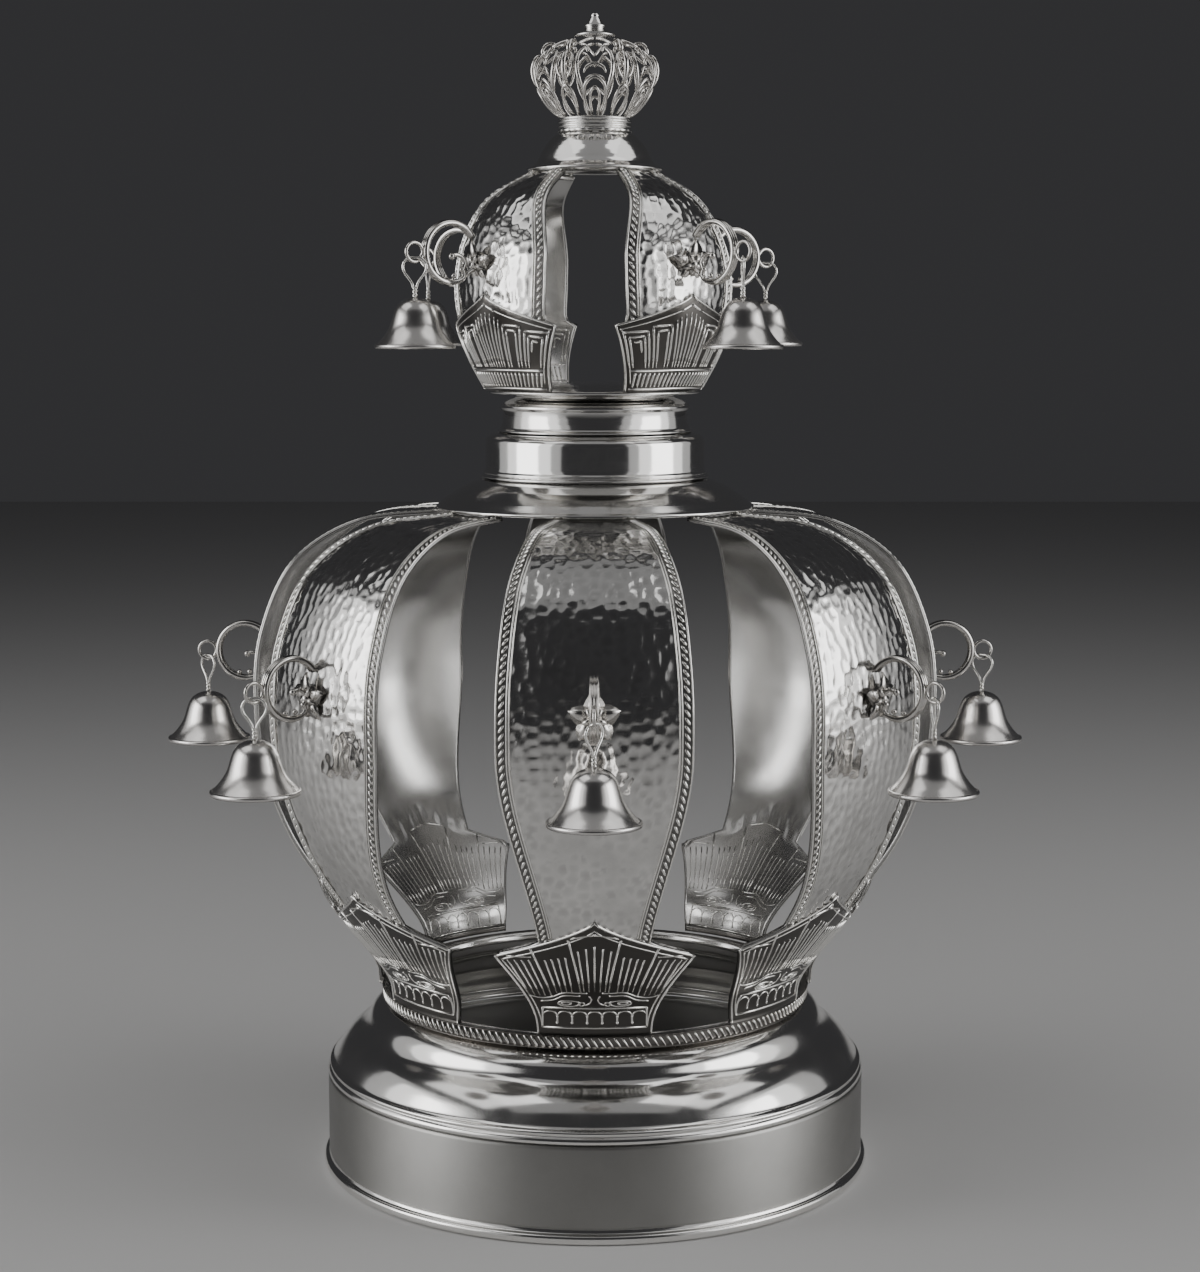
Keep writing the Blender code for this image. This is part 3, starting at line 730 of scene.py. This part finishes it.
def bead_row(name, points, outward, along, size, slant, slot):
    """Slanted beads on the points, made by the tree and turned into a plain mesh."""
    mesh = bpy.data.meshes.new(name)
    mesh.from_pydata([tuple(p) for p in points], [], [])
    for label, vectors in (("out", outward), ("along", along)):
        field = mesh.attributes.new(label, "FLOAT_VECTOR", "POINT")
        field.data.foreach_set("vector", np.array(vectors, np.float32).ravel())
    carrier = bpy.data.objects.new(name, mesh)
    bpy.context.collection.objects.link(carrier)
    modifier = carrier.modifiers.new("beads", "NODES")
    modifier.node_group = BEADS
    values = dict(zip(("Length", "Width", "Height"), size), Slant=slant, Finish=FINISHES[slot])
    for socket in BEADS.interface.items_tree:
        if socket.in_out == "INPUT" and socket.name in values:
            modifier[socket.identifier] = values[socket.name]
    bpy.context.view_layer.update()
    graph = bpy.context.evaluated_depsgraph_get()
    made = bpy.data.meshes.new_from_object(carrier.evaluated_get(graph))
    carrier.modifiers.remove(modifier)
    carrier.data = made
    made.name = name
    bpy.data.meshes.remove(mesh)
    keep_piece(carrier, slot)


def edge_line(spec, inset, lift, step):
    """Points along both sides of a panel, above its plaque, a fixed distance in from the edge."""
    meridian, length = spec["meridian"]
    start = np.interp(spec["join"] + 0.4 * MM, meridian[:, 1], length)
    end = length[-1] - 0.8 * MM
    s = np.linspace(start, end, max(int((end - start) / step), 2))
    radius, z = np.interp(s, length, meridian[:, 0]), np.interp(s, length, meridian[:, 1])
    lines = []
    for side in (-1, 1):
        turn = side * (np.radians(half_angle(z, spec)) - inset / radius)
        place, outward = on_panel(spec, turn, z, lift)
        along = np.gradient(place, axis=0)
        lines.append((place, outward, along / np.linalg.norm(along, axis=1)[:, None]))
    return lines


def edging(tier, number, spec, azimuth):
    """Plain wires with a row of slanted beads between them, down each side of a panel."""
    wires = []
    inner = EDGING_INSET + EDGING_WIDTH
    for inset, wire in ((EDGING_INSET, EDGE_WIRE), (inner, 0.8 * EDGE_WIRE),
                        (inner + 0.75 * MM, 0.7 * EDGE_WIRE)):
        for place, outward, along in edge_line(spec, inset, 0.5 * wire, 3.0 * MM):
            wires.append(tube(place, ring_section(wire, 6), np.cross(along, outward)))
    make_piece(f"{tier}_edge_wires_{number}", together(*wires), "polished_silver/wire", azimuth=azimuth)
    lines = edge_line(spec, EDGING_INSET + 0.5 * EDGING_WIDTH, 0.02 * MM, BEAD_PITCH)
    for side, lean, line in zip(("left", "right"), (spec["bead_lean"], -spec["bead_lean"]), lines):
        rows = [turned((part, None), azimuth)[0] for part in line]
        bead_row(f"{tier}_rope_edging_{side}_{number}", *rows, BEAD_SIZE, math.radians(lean),
                 "polished_silver/wire")


# ---------------------------------------------------------------- spun pieces

BASE_SEGMENTS = 128
COLLAR_SEGMENTS = 96
ROPE_STROKES = 188
STROKE_SIZE = (5.3 * MM, 0.85 * MM, 1.6 * MM)


def mm(*points):
    """(radius, height) points given in millimetres."""
    return [(radius * MM, height * MM) for radius, height in points]


def turned_solid(name, node, outline, segments, slot, wobble=None):
    """A turned piece from its whole closed outline."""
    verts, faces = revolved(outline, segments, wobble)
    make_piece(name, (verts, facing_out(verts, faces)), slot, node)


def spun(name, node, outer, segments, radius):
    """A polished spun shell from the outline of its outer face, climbing, with softened corners."""
    turned_solid(name, node, shell_outline(round_corners(outer, radius), SHEET), segments, "polished_silver")


def arc(centre, radius, start, end, steps=8):
    """Points on an arc, by angle in degrees from the outward direction."""
    turns = [math.radians(start + (end - start) * k / steps) for k in range(steps + 1)]
    return [(centre[0] + radius * math.cos(t), centre[1] + radius * math.sin(t)) for t in turns]


def swept_ring(radius, height, wire, segments, sides):
    """A plain wire ring round the axis."""
    verts, faces = revolved([(radius + a, height + b) for a, b in ring_section(wire, sides)], segments)
    return verts, facing_out(verts, faces)


def base():
    """Satin band on a polished foot bead, the stepped dome over it and the rope ring on its neck."""
    foot = arc((87.6 * MM, 1.2 * MM), 1.2 * MM, -90, 0, 6) + arc((87.6 * MM, 1.9 * MM), 1.2 * MM, 0, 80, 6)
    foot += mm((87.3, 3.4), (87.0, 4.0), (86.9, 4.6), (86.1, 4.6), (86.0, 1.2), (86.4, 0))
    turned_solid("polished_foot_bead", "base_band", round_corners(foot, 0.15 * MM), BASE_SEGMENTS,
                 "polished_silver")
    band = mm((87.0, 4.3), (87.0, 4.6), (87.25, 5.0), (87.25, 28.9), (87.0, 29.6), (86.6, 29.8), (82.5, 29.8),
              (82.5, 28.8), (85.8, 28.8), (86.0, 27.8), (86.0, 4.3))
    turned_solid("satin_base_band", "base_band", round_corners(band, 0.15 * MM), BASE_SEGMENTS, "satin_silver")
    dome = mm((86.6, 30.1), (87.2, 30.4), (87.4, 31.0), (87.3, 31.7), (86.8, 32.3), (86.4, 32.7), (86.7, 33.1),
              (86.8, 33.6), (86.4, 34.1), (85.7, 34.5), (85.2, 35.0), (84.6, 35.9), (83.8, 37.1), (82.9, 38.4),
              (81.8, 39.8), (80.6, 41.1), (79.3, 42.3), (77.9, 43.4), (76.5, 44.4), (75.3, 45.5), (74.4, 46.7),
              (73.7, 48.0), (73.0, 49.3), (72.0, 50.6), (70.7, 51.7), (69.3, 52.6), (68.1, 53.2), (67.4, 53.8),
              (67.0, 54.8), (67.0, 58.3))
    spun("spun_base_dome", "base_dome", dome, BASE_SEGMENTS, 0.6 * MM)
    core = mm((67.3, 54.0), (69.0, 54.0), (69.4, 54.3), (69.0, 54.6), (68.6, 54.9), (68.6, 57.5), (69.2, 57.8),
              (69.6, 58.1), (69.2, 58.3), (67.3, 58.3))
    # the core's near-black finish is painted shade showing between the rope strokes
    turned_solid("rope_ring_core", "rope_ring", round_corners(core, 0.1 * MM), BASE_SEGMENTS,
                 "polished_silver/dark")
    turns = [2 * math.pi * k / ROPE_STROKES for k in range(ROPE_STROKES)]
    out = [turn_vector(t) for t in turns]
    place = [v * 68.7 * MM + np.array((0, 0, 56.2 * MM)) for v in out]
    along = [np.array((math.cos(t), math.sin(t), 0.0)) for t in turns]
    bead_row("rope_ring_strokes", place, out, along, STROKE_SIZE, math.radians(-56), "polished_silver/wire")


def collars():
    """The cap over the lower crown, the two stacked collars and the small crown's floor and cap."""
    cap = mm((49.0, 212.7), (50.3, 212.7), (50.8, 213.1), (50.8, 213.6), (50.0, 214.1), (49.2, 214.8),
             (47.6, 216.2), (45.2, 217.8), (42.4, 219.5), (39.2, 221.0), (37.0, 221.8), (35.0, 222.2),
             (20.0, 222.2), (0, 222.2))
    spun("spun_lower_cap", "lower_cap", cap, COLLAR_SEGMENTS, 0.3 * MM)
    drum = mm((35.4, 222.5), (36.2, 222.6), (36.3, 223.1), (35.7, 223.5), (35.4, 223.8), (35.7, 224.1),
              (35.6, 224.5), (35.1, 224.9), (35.0, 226.0), (35.0, 233.6), (34.9, 234.4), (34.5, 235.1),
              (33.8, 235.7), (32.8, 236.2), (31.7, 236.5), (30.6, 236.6))
    spun("spun_collar_drum", "collar_drum", drum, COLLAR_SEGMENTS, 0.15 * MM)
    necklet = mm((30.0, 236.9), (30.7, 237.0), (30.8, 237.5), (30.2, 238.0), (29.9, 238.5), (29.6, 240.0),
                 (29.4, 242.0), (29.5, 243.8), (30.0, 244.6), (30.0, 245.2), (29.4, 246.0), (28.4, 246.7),
                 (27.0, 247.3), (25.6, 247.7), (25.2, 248.0), (25.2, 248.8))
    spun("spun_necklet", "collar_necklet", necklet, COLLAR_SEGMENTS, 0.15 * MM)
    floor = mm((32.5, 249.1), (33.4, 249.2), (33.6, 249.7), (33.4, 250.2), (32.6, 250.5), (30.0, 251.1),
               (25.0, 251.8), (18.0, 252.3), (9.0, 252.5), (0, 252.5))
    spun("small_crown_floor", "upper_floor", floor, COLLAR_SEGMENTS, 0.2 * MM)
    top = mm((20.6, 318.8), (21.2, 318.8), (21.4, 319.1), (21.3, 319.4), (20.8, 319.7), (19.7, 320.3),
             (18.7, 321.0), (18.0, 322.0), (17.5, 323.2), (16.8, 324.6), (16.0, 326.0), (15.1, 327.3),
             (14.1, 328.5), (13.0, 329.5), (12.1, 330.0), (11.2, 330.2))
    spun("spun_upper_cap", "upper_cap", top, COLLAR_SEGMENTS, 0.2 * MM)


# ---------------------------------------------------------------- finial

BASKET = smooth_curve(((0.0108, 0.3355), (0.0133, 0.3373), (0.0165, 0.3414), (0.0183, 0.3455),
                       (0.0186, 0.3490), (0.0176, 0.3524), (0.0148, 0.3558), (0.0112, 0.3578),
                       (0.0070, 0.3592)), 300)[0]
FINIAL_UNITS = 6
FINIAL_LOBES = 24


def on_basket(azimuth, height, lift=0.0):
    """A point on the finial's basket, lifted outward."""
    radius = np.interp(height, BASKET[:, 1], BASKET[:, 0]) + lift
    return turn_vector(math.radians(azimuth)) * radius + np.array((0, 0, height))


def tapered(spots, thin, run):
    """The path with a fourth column that thins both ends; run says how quickly it thickens."""
    last = len(spots) - 1
    return [(*p, min(1.0, thin + (1 - thin) * run * min(k, last - k) / len(spots)))
            for k, p in enumerate(spots)]


def basket_wire(points, wire, lift, middle):
    """A tapering wire on the basket through (azimuth, height in mm) points; wire and lift are in mm too."""
    path = smooth_curve(points, 26)[0]
    spots = [on_basket(middle + a, h * MM, lift * MM) for a, h in path]
    out = np.array([turn_vector(math.radians(middle + a)) for a, h in path])
    along = np.gradient(np.array(spots), axis=0)
    return tube(tapered(spots, 0.55, 8), ring_section(wire * MM, 7, 0.8), np.cross(along, out))


def arch(*half):
    """A whole arch from its left half, whose last point is the top."""
    return [*half, *((-a, h) for a, h in half[-2::-1])]


def scroll_wire(points, azimuth, wire):
    """A tapering wire in the upright plane at an azimuth, through (radius, height) points."""
    out = turn_vector(math.radians(azimuth))
    spots = [out * r + np.array((0, 0, z)) for r, z in smooth_curve(points, 30)[0]]
    return tube(tapered(spots, 0.6, 6), ring_section(wire, 8, 0.8), (out[1], -out[0], 0.0))


def finial():
    """Openwork basket of arches, ribs and scrolls between a moulded ring and a stepped tip."""
    parts = []
    pitch = 360 / FINIAL_UNITS
    for k in range(FINIAL_UNITS):
        a = k * pitch
        b = a + pitch / 2
        for line, wire, lift in (
                (arch((-7.5, 335.6), (-11.5, 339.8), (-9.5, 344.0), (0, 346.2)), 0.60, 0.3),
                (arch((-3.5, 335.6), (-5.5, 339.2), (-4.0, 342.0), (0, 343.2)), 0.48, 0.2),
                (arch((-10.5, 347.4), (-7.5, 349.2), (0, 350.2)), 0.56, 0.3)):
            parts.append(basket_wire(line, wire, lift, a))
        for side in (-1, 1):
            for line, wire, lift in (
                    (((12, 342.4), (15, 345.6), (17, 349.4), (16.5, 353.2), (11, 355.3), (7, 354.0)),
                     0.66, 0.4),
                    (((19, 356.6), (10, 356.0), (0, 352.6)), 0.48, 0.2),
                    (((24, 356.8), (14, 358.4), (2, 358.9)), 0.56, 0.2)):
                parts.append(basket_wire([(side * turn, z) for turn, z in line], wire, lift, a))
        parts.append(basket_wire(arch((-5, 335.6), (-7.5, 339.0), (-5.5, 342.2), (0, 344.0)), 0.56, 0.3, b))
        loop = mm((16.0, 344.2), (17.8, 344.9), (19.1, 346.9), (19.6, 349.7), (19.0, 352.6), (17.6, 354.1),
                  (16.2, 353.7), (15.6, 352.2), (16.4, 350.9))
        parts.append(scroll_wire(loop, b, 0.85 * MM))
        bud = turn_vector(math.radians(b)) * 16.6 * MM + np.array((0, 0, 350.4 * MM))
        parts.append(ball(bud, 1.0 * MM, 10, 6))
        hook = mm((16.0, 353.7), (16.4, 355.6), (15.6, 357.3), (13.9, 358.1), (12.4, 357.5), (12.6, 356.2))
        parts.append(scroll_wire(hook, b, 0.75 * MM))
        for side in (-1, 1):
            line = ((2, 346.2), (6, 347.4), (8.5, 350.2), (6.5, 353.0), (2.5, 354.0))
            parts.append(basket_wire([(side * turn, z) for turn, z in line], 0.52, 0.2, b))
    make_piece("finial_openwork", together(*parts), "polished_silver/cast", "finial_crown")

    def scallop(turn, radius, height):
        low = max(0.0, 1 - (height - 330.5 * MM) / (1.0 * MM))
        return 0.35 * MM * low * abs(math.sin(FINIAL_LOBES * turn / 2)) if radius > 10.5 * MM else 0.0

    ring = mm((9.4, 330.5), (11.2, 330.5))
    for radius, height, bead, start, end in ((11.0, 331.2, 0.7, -50, 60), (11.1, 332.5, 0.55, -60, 60),
                                             (11.2, 333.8, 0.55, -60, 60), (11.0, 334.7, 0.5, -40, 90)):
        ring += arc((radius * MM, height * MM), bead * MM, start, end, 5)
    ring = round_corners(ring + mm((9.4, 335.2)), 0.1 * MM)
    turned_solid("finial_moulded_ring", "finial_ring", ring, 144, "polished_silver", scallop)
    tip = mm((0, 360.1), (5.8, 360.1), (6.5, 360.3), (6.6, 360.7), (6.2, 361.1), (5.0, 361.6), (3.8, 362.1),
             (3.1, 362.6), (3.1, 362.9), (3.4, 363.2), (3.4, 363.6), (3.0, 364.0), (2.6, 364.5), (2.1, 365.2),
             (1.7, 365.8), (1.3, 366.3), (1.3, 366.8), (1.1, 367.2), (0.6, 367.5), (0, 367.5))
    turned_solid("finial_tip_turned", "finial_tip", round_corners(tip, 0.1 * MM), 64, "polished_silver")


# ---------------------------------------------------------------- brackets, rings and bells

SCROLL_RADIUS = 9.0 * MM
RING_RADIUS = 2.9 * MM
RING_WIRE = 0.55 * MM
RING_REACH = 12.8 * MM          # from the scroll's centre to the hanging ring's
STRIP_STEPS = 56
PETALS = 5
SIDEWAYS = (1.0, 0, 0)
LOOP_WIRE = 0.42 * MM
LOOP_TURN = 50.0
LOOP_LENGTH = 11.8 * MM
LOOP_SHAPE = ((0.0, 0.0), (1.6, -0.15), (3.0, -1.1), (3.6, -2.7), (3.1, -4.5), (1.8, -6.3), (0.8, -7.9),
              (0.5, -9.2))      # half the loop, in millimetres from its top
TWIST_START = 8.9 * MM
TWIST_LENGTH = 3.0 * MM
BELL_SEGMENTS = 48
BELL_WALL = 0.8 * MM
LIP_WIRE = 0.76 * MM
LIP_INSET = 0.75 * MM
# A bell's outer face from crown to lip: shares of its height and of its rim's radius
BELL_SHAPE = ((0.996, 0.08), (0.983, 0.17), (0.955, 0.265), (0.91, 0.355), (0.845, 0.43),
              (0.76, 0.487), (0.66, 0.53), (0.55, 0.57), (0.45, 0.61), (0.36, 0.665), (0.28, 0.73),
              (0.20, 0.805), (0.13, 0.885), (0.08, 0.945), (0.04, 0.985), (0.01, 1.0), (0.0, 0.985))


def strip_section(width, thick):
    """A reeded strip: three rounded ribs side by side."""
    steps = 12
    across = [k / steps - 0.5 for k in range(steps + 1)]
    pairs = [(width * t, thick * (0.34 + 0.16 * math.cos(6 * math.pi * t))) for t in across]
    return pairs + [(a, -b) for a, b in reversed(pairs)]


def petal(centre, out, up, turn, length, width, thick):
    """A thin pointed petal with a crease down its middle, growing away from the centre of its flower."""
    side = np.cross(up, out)
    direction = math.cos(turn) * up + math.sin(turn) * side
    across = np.cross(out, direction)
    steps = 10
    verts, faces = [], []
    for k in range(steps + 1):
        t = k / steps
        half = 0.5 * width * (max(math.sin(math.pi * t ** 0.85), 0.0) ** 0.8 + 0.12 * (1 - t))
        lift = 0.9 * MM * math.sin(math.pi * t) - 0.3 * MM * t
        spine = centre + direction * length * t + out * lift
        for a, b in ((-half, 0.25 * thick), (0.0, thick), (half, 0.25 * thick), (0.0, -0.35 * thick)):
            verts.append(spine + a * across + b * out)
    for k in range(steps):
        for j in range(4):
            n = (j + 1) % 4
            faces.append((4 * k + j, 4 * k + n, 4 * k + 4 + n, 4 * k + 4 + j))
    faces += [(3, 2, 1, 0), (4 * steps, 4 * steps + 1, 4 * steps + 2, 4 * steps + 3)]
    return verts, facing_out(verts, faces)


def upright_rod(points, wire, shrink, samples):
    """A tapering rod in the plane of azimuth 0, through (radius, height) points."""
    path = smooth_curve(points, samples)[0]
    rows = [(0.0, -r, z, 1 - shrink * k / (samples - 1)) for k, (r, z) in enumerate(path)]
    return tube(rows, ring_section(wire, 9), SIDEWAYS)


def bracket(tier, number, azimuth, scroll, panel_radius, lean):
    """The scroll that stands off a panel: flower, reeded C, inner sprig, buds and hanging ring."""
    centre_r, centre_z = scroll

    def off(*points):
        return [(centre_r + r * MM, centre_z + z * MM) for r, z in points]

    parts = []
    sweep = [math.radians(148 - 268 * k / STRIP_STEPS) for k in range(STRIP_STEPS + 1)]
    strip = [(0.0, -(centre_r + SCROLL_RADIUS * math.cos(t)), centre_z + SCROLL_RADIUS * math.sin(t),
              min(1.0, 0.6 + 0.05 * (STRIP_STEPS - k))) for k, t in enumerate(sweep)]
    parts.append(tube(strip, strip_section(2.7 * MM, 1.9 * MM), SIDEWAYS))
    sprig = off((-3.6, -8.2), (-4.8, -6.9), (-4.4, -4.9), (-5.0, -3.1), (-4.1, -1.3), (-2.3, -0.6),
                (-0.8, -0.8))
    parts.append(upright_rod(sprig, 0.85 * MM, 0.3, 30))
    buds = off((-0.5, -1.1), (-1.2, -7.0), (2.2, -7.2), (-4.1, -5.1))
    for (r, z), size in zip(buds, (1.05, 0.85, 0.8, 0.9)):
        parts.append(ball((0, -r, z), size * MM, 12, 8))
    out = np.array((0, -math.cos(lean), -math.sin(lean)))
    up = np.array((0, -math.sin(lean), math.cos(lean)))
    flower = np.array((0, -(panel_radius + 0.2 * MM), centre_z - 3.2 * MM))
    for k in range(PETALS):
        for lift, start, length, width in ((0.5, 0, 7.8, 5.9), (1.1, 180 / PETALS, 4.2, 2.6)):
            turn = math.radians(start + 360 * k / PETALS)
            parts.append(petal(flower + lift * MM * out, out, up, turn, length * MM, width * MM, 0.7 * MM))
    parts.append(ball(flower + 1.6 * MM * out, 1.6 * MM, 14, 10, 0.9, out))
    foot = (panel_radius, centre_z - 3.6 * MM)
    stem = [foot, (foot[0] + 1.4 * MM, foot[1] - 0.6 * MM), *off((-5.4, -6.6))]
    parts.append(upright_rod(stem, 1.0 * MM, 0.2, 10))
    ring_r = centre_r + RING_REACH
    circle = [(0.0, -(ring_r + RING_RADIUS * math.cos(t)), centre_z + RING_RADIUS * math.sin(t))
              for t in np.linspace(0, 2 * math.pi, 36, endpoint=False)]
    parts.append(tube(circle, ring_section(RING_WIRE, 9), SIDEWAYS, closed=True))
    make_piece(f"{tier}_scroll_bracket_{number}", together(*parts), "polished_silver/cast",
               f"{tier}_bracket_{number}", azimuth)


def hanging_loop(tier, number, azimuth, ring_r, top):
    """A wire loop in the bracket's ring, whose ends are twisted together below it."""
    half = smooth_curve([(x * MM, z * MM) for x, z in LOOP_SHAPE], 22)[0]
    outline = [(-x, z) for x, z in half[:0:-1]] + [(x, z) for x, z in half]
    turn = math.radians(LOOP_TURN)
    wire = [(x * math.cos(turn), -ring_r + x * math.sin(turn), top + z) for x, z in outline]
    shapes = [tube(wire, ring_section(LOOP_WIRE, 8), (-math.sin(turn), math.cos(turn), 0.0))]
    steps = 14
    for start in (turn, turn + math.pi):
        twist = [(LOOP_WIRE * math.cos(2.6 * math.pi * k / steps + start),
                  -ring_r + LOOP_WIRE * math.sin(2.6 * math.pi * k / steps + start),
                  top - TWIST_START - TWIST_LENGTH * k / steps) for k in range(steps + 1)]
        shapes.append(tube(twist, ring_section(LOOP_WIRE, 8), (0.3, 0.9, 0.1)))
    make_piece(f"{tier}_hanging_loop_{number}", together(*shapes), "polished_silver/wire",
               f"{tier}_bell_loop_{number}", azimuth)


def bell(tier, number, azimuth, ring_r, crown, rim, height):
    """A thin flared bell with a rolled lip, open below, whose crown is at a height."""
    low = crown - height
    outer = [(rim * share, low + height * up) for up, share in reversed(BELL_SHAPE)]
    outer = smooth_curve(outer, 30)[0]
    outline = shell_outline(outer, BELL_WALL) + [(0.0, crown - BELL_WALL), (0.0, crown)]
    outline = [p for p in outline if p[0] > 0.4 * MM or abs(p[0]) < AXIS]
    shell, faces = revolved(outline, BELL_SEGMENTS)
    lip = swept_ring(rim - LIP_INSET, low + LIP_INSET, LIP_WIRE, BELL_SEGMENTS, 8)
    verts, faces = together((shell, facing_out(shell, faces)), lip)
    verts = np.array(verts) + np.array((0, -ring_r, 0))
    make_piece(f"{tier}_flared_bell_{number}", (verts, faces), "polished_silver/bell", f"{tier}_bell_{number}",
               azimuth)


def crown(tier, spec, turns, bell_turns, plaque, scroll, rim, height, seed):
    """All the panels of one crown with their edging, brackets and bells."""
    prepare(spec)
    for number, azimuth in enumerate(turns, 1):
        hammered_panel(f"{tier}_chased_panel_{number}", f"{tier}_panel_{number}", spec, azimuth, seed + number)
        plaque_lines(f"{tier}_plaque_lines_{number}", spec, azimuth, plaque)
        edging(tier, number, spec, azimuth)
    shape = spec["meridian"][0]
    panel_radius, over = np.interp((scroll[1], scroll[1] + 4.0 * MM), shape[:, 1], shape[:, 0])
    lean = -math.atan2(over - panel_radius, 4.0 * MM)
    ring_r, ring_z = scroll[0] + RING_REACH, scroll[1]
    top = ring_z - (RING_RADIUS - RING_WIRE - LOOP_WIRE - GAP)
    for number, azimuth in enumerate(bell_turns, 1):
        bracket(tier, number, azimuth, scroll, panel_radius, lean)
        hanging_loop(tier, number, azimuth, ring_r, top)
        bell(tier, number, azimuth, ring_r, top - LOOP_LENGTH - GAP, rim, height)


# ---------------------------------------------------------------- stage, light and camera

LIGHT_AIM = 0.16                # the height that the lights face


def plain_material(name, color, roughness):
    paint = bpy.data.materials.new(name)
    paint.use_nodes = True
    shader = paint.node_tree.nodes["Principled BSDF"]
    shader.inputs["Base Color"].default_value = (*color, 1)
    shader.inputs["Roughness"].default_value = roughness
    return paint


def soft_light(name, azimuth, height, distance, width, tall, power):
    """A softbox that faces the crown."""
    lamp = bpy.data.lights.new(name, "AREA")
    lamp.shape = "RECTANGLE"
    lamp.size = width
    lamp.size_y = tall
    lamp.energy = power
    box = bpy.data.objects.new(name, lamp)
    bpy.context.collection.objects.link(box)
    box.location = Vector(turn_vector(math.radians(azimuth)) * distance) + Vector((0, 0, height))
    box.rotation_euler = (Vector((0, 0, LIGHT_AIM)) - box.location).to_track_quat("-Z", "Y").to_euler()


def studio():
    """Pale floor, dim surroundings, two tall softboxes with a dark gap between them, and a soft top light."""
    mesh = bpy.data.meshes.new("pale_floor")
    reach = 3.0
    mesh.from_pydata([(-reach, -reach, 0), (reach, -reach, 0), (reach, reach, 0), (-reach, reach, 0)], [],
                     [(0, 1, 2, 3)])
    floor = bpy.data.objects.new("pale_floor", mesh)
    bpy.context.collection.objects.link(floor)
    floor.data.materials.append(plain_material("floor_paper", (0.56, 0.555, 0.55), 0.6))
    world = bpy.data.worlds.new("dim_room")
    world.use_nodes = True
    world.node_tree.nodes["Background"].inputs["Color"].default_value = (0.035, 0.035, 0.037, 1)
    bpy.context.scene.world = world
    for side, word in ((-1, "left"), (1, "right")):
        soft_light(f"{word}_wide_softbox", side * 76, 0.36, 1.06, 1.90, 1.05, 2.6)
        soft_light(f"{word}_softbox", side * 74, 0.36, 1.00, 1.10, 0.80, 2.6)
        soft_light(f"{word}_bright_softbox", side * 74, 0.38, 0.94, 0.48, 0.56, 2.3)
        soft_light(f"{word}_high_softbox", side * 80, 1.10, 0.62, 0.75, 0.60, 1.5)
    soft_light("overhead_softbox", 0, 1.35, 0.25, 1.5, 1.2, 1.2)
    camera = bpy.data.objects.new("front_camera", bpy.data.cameras.new("front_camera"))
    bpy.context.collection.objects.link(camera)
    camera.location = (0.0016, -0.810, 0.2723)
    camera.rotation_euler = (math.radians(90 - 7.123), 0, 0)
    camera.data.lens = 71.67
    camera.data.sensor_width = 36
    camera.data.sensor_fit = "AUTO"
    bpy.context.scene.camera = camera


base()
collars()
finial()
crown("lower", LOWER, LOWER_TURNS, LOWER_TURNS, lower_plaque, (0.1155, 0.1646), 0.0135, 0.0162, 10)
crown("upper", UPPER, UPPER_TURNS, UPPER_BELL_TURNS, upper_plaque, (0.0540, 0.2925), 0.0123, 0.0152, 40)
studio()
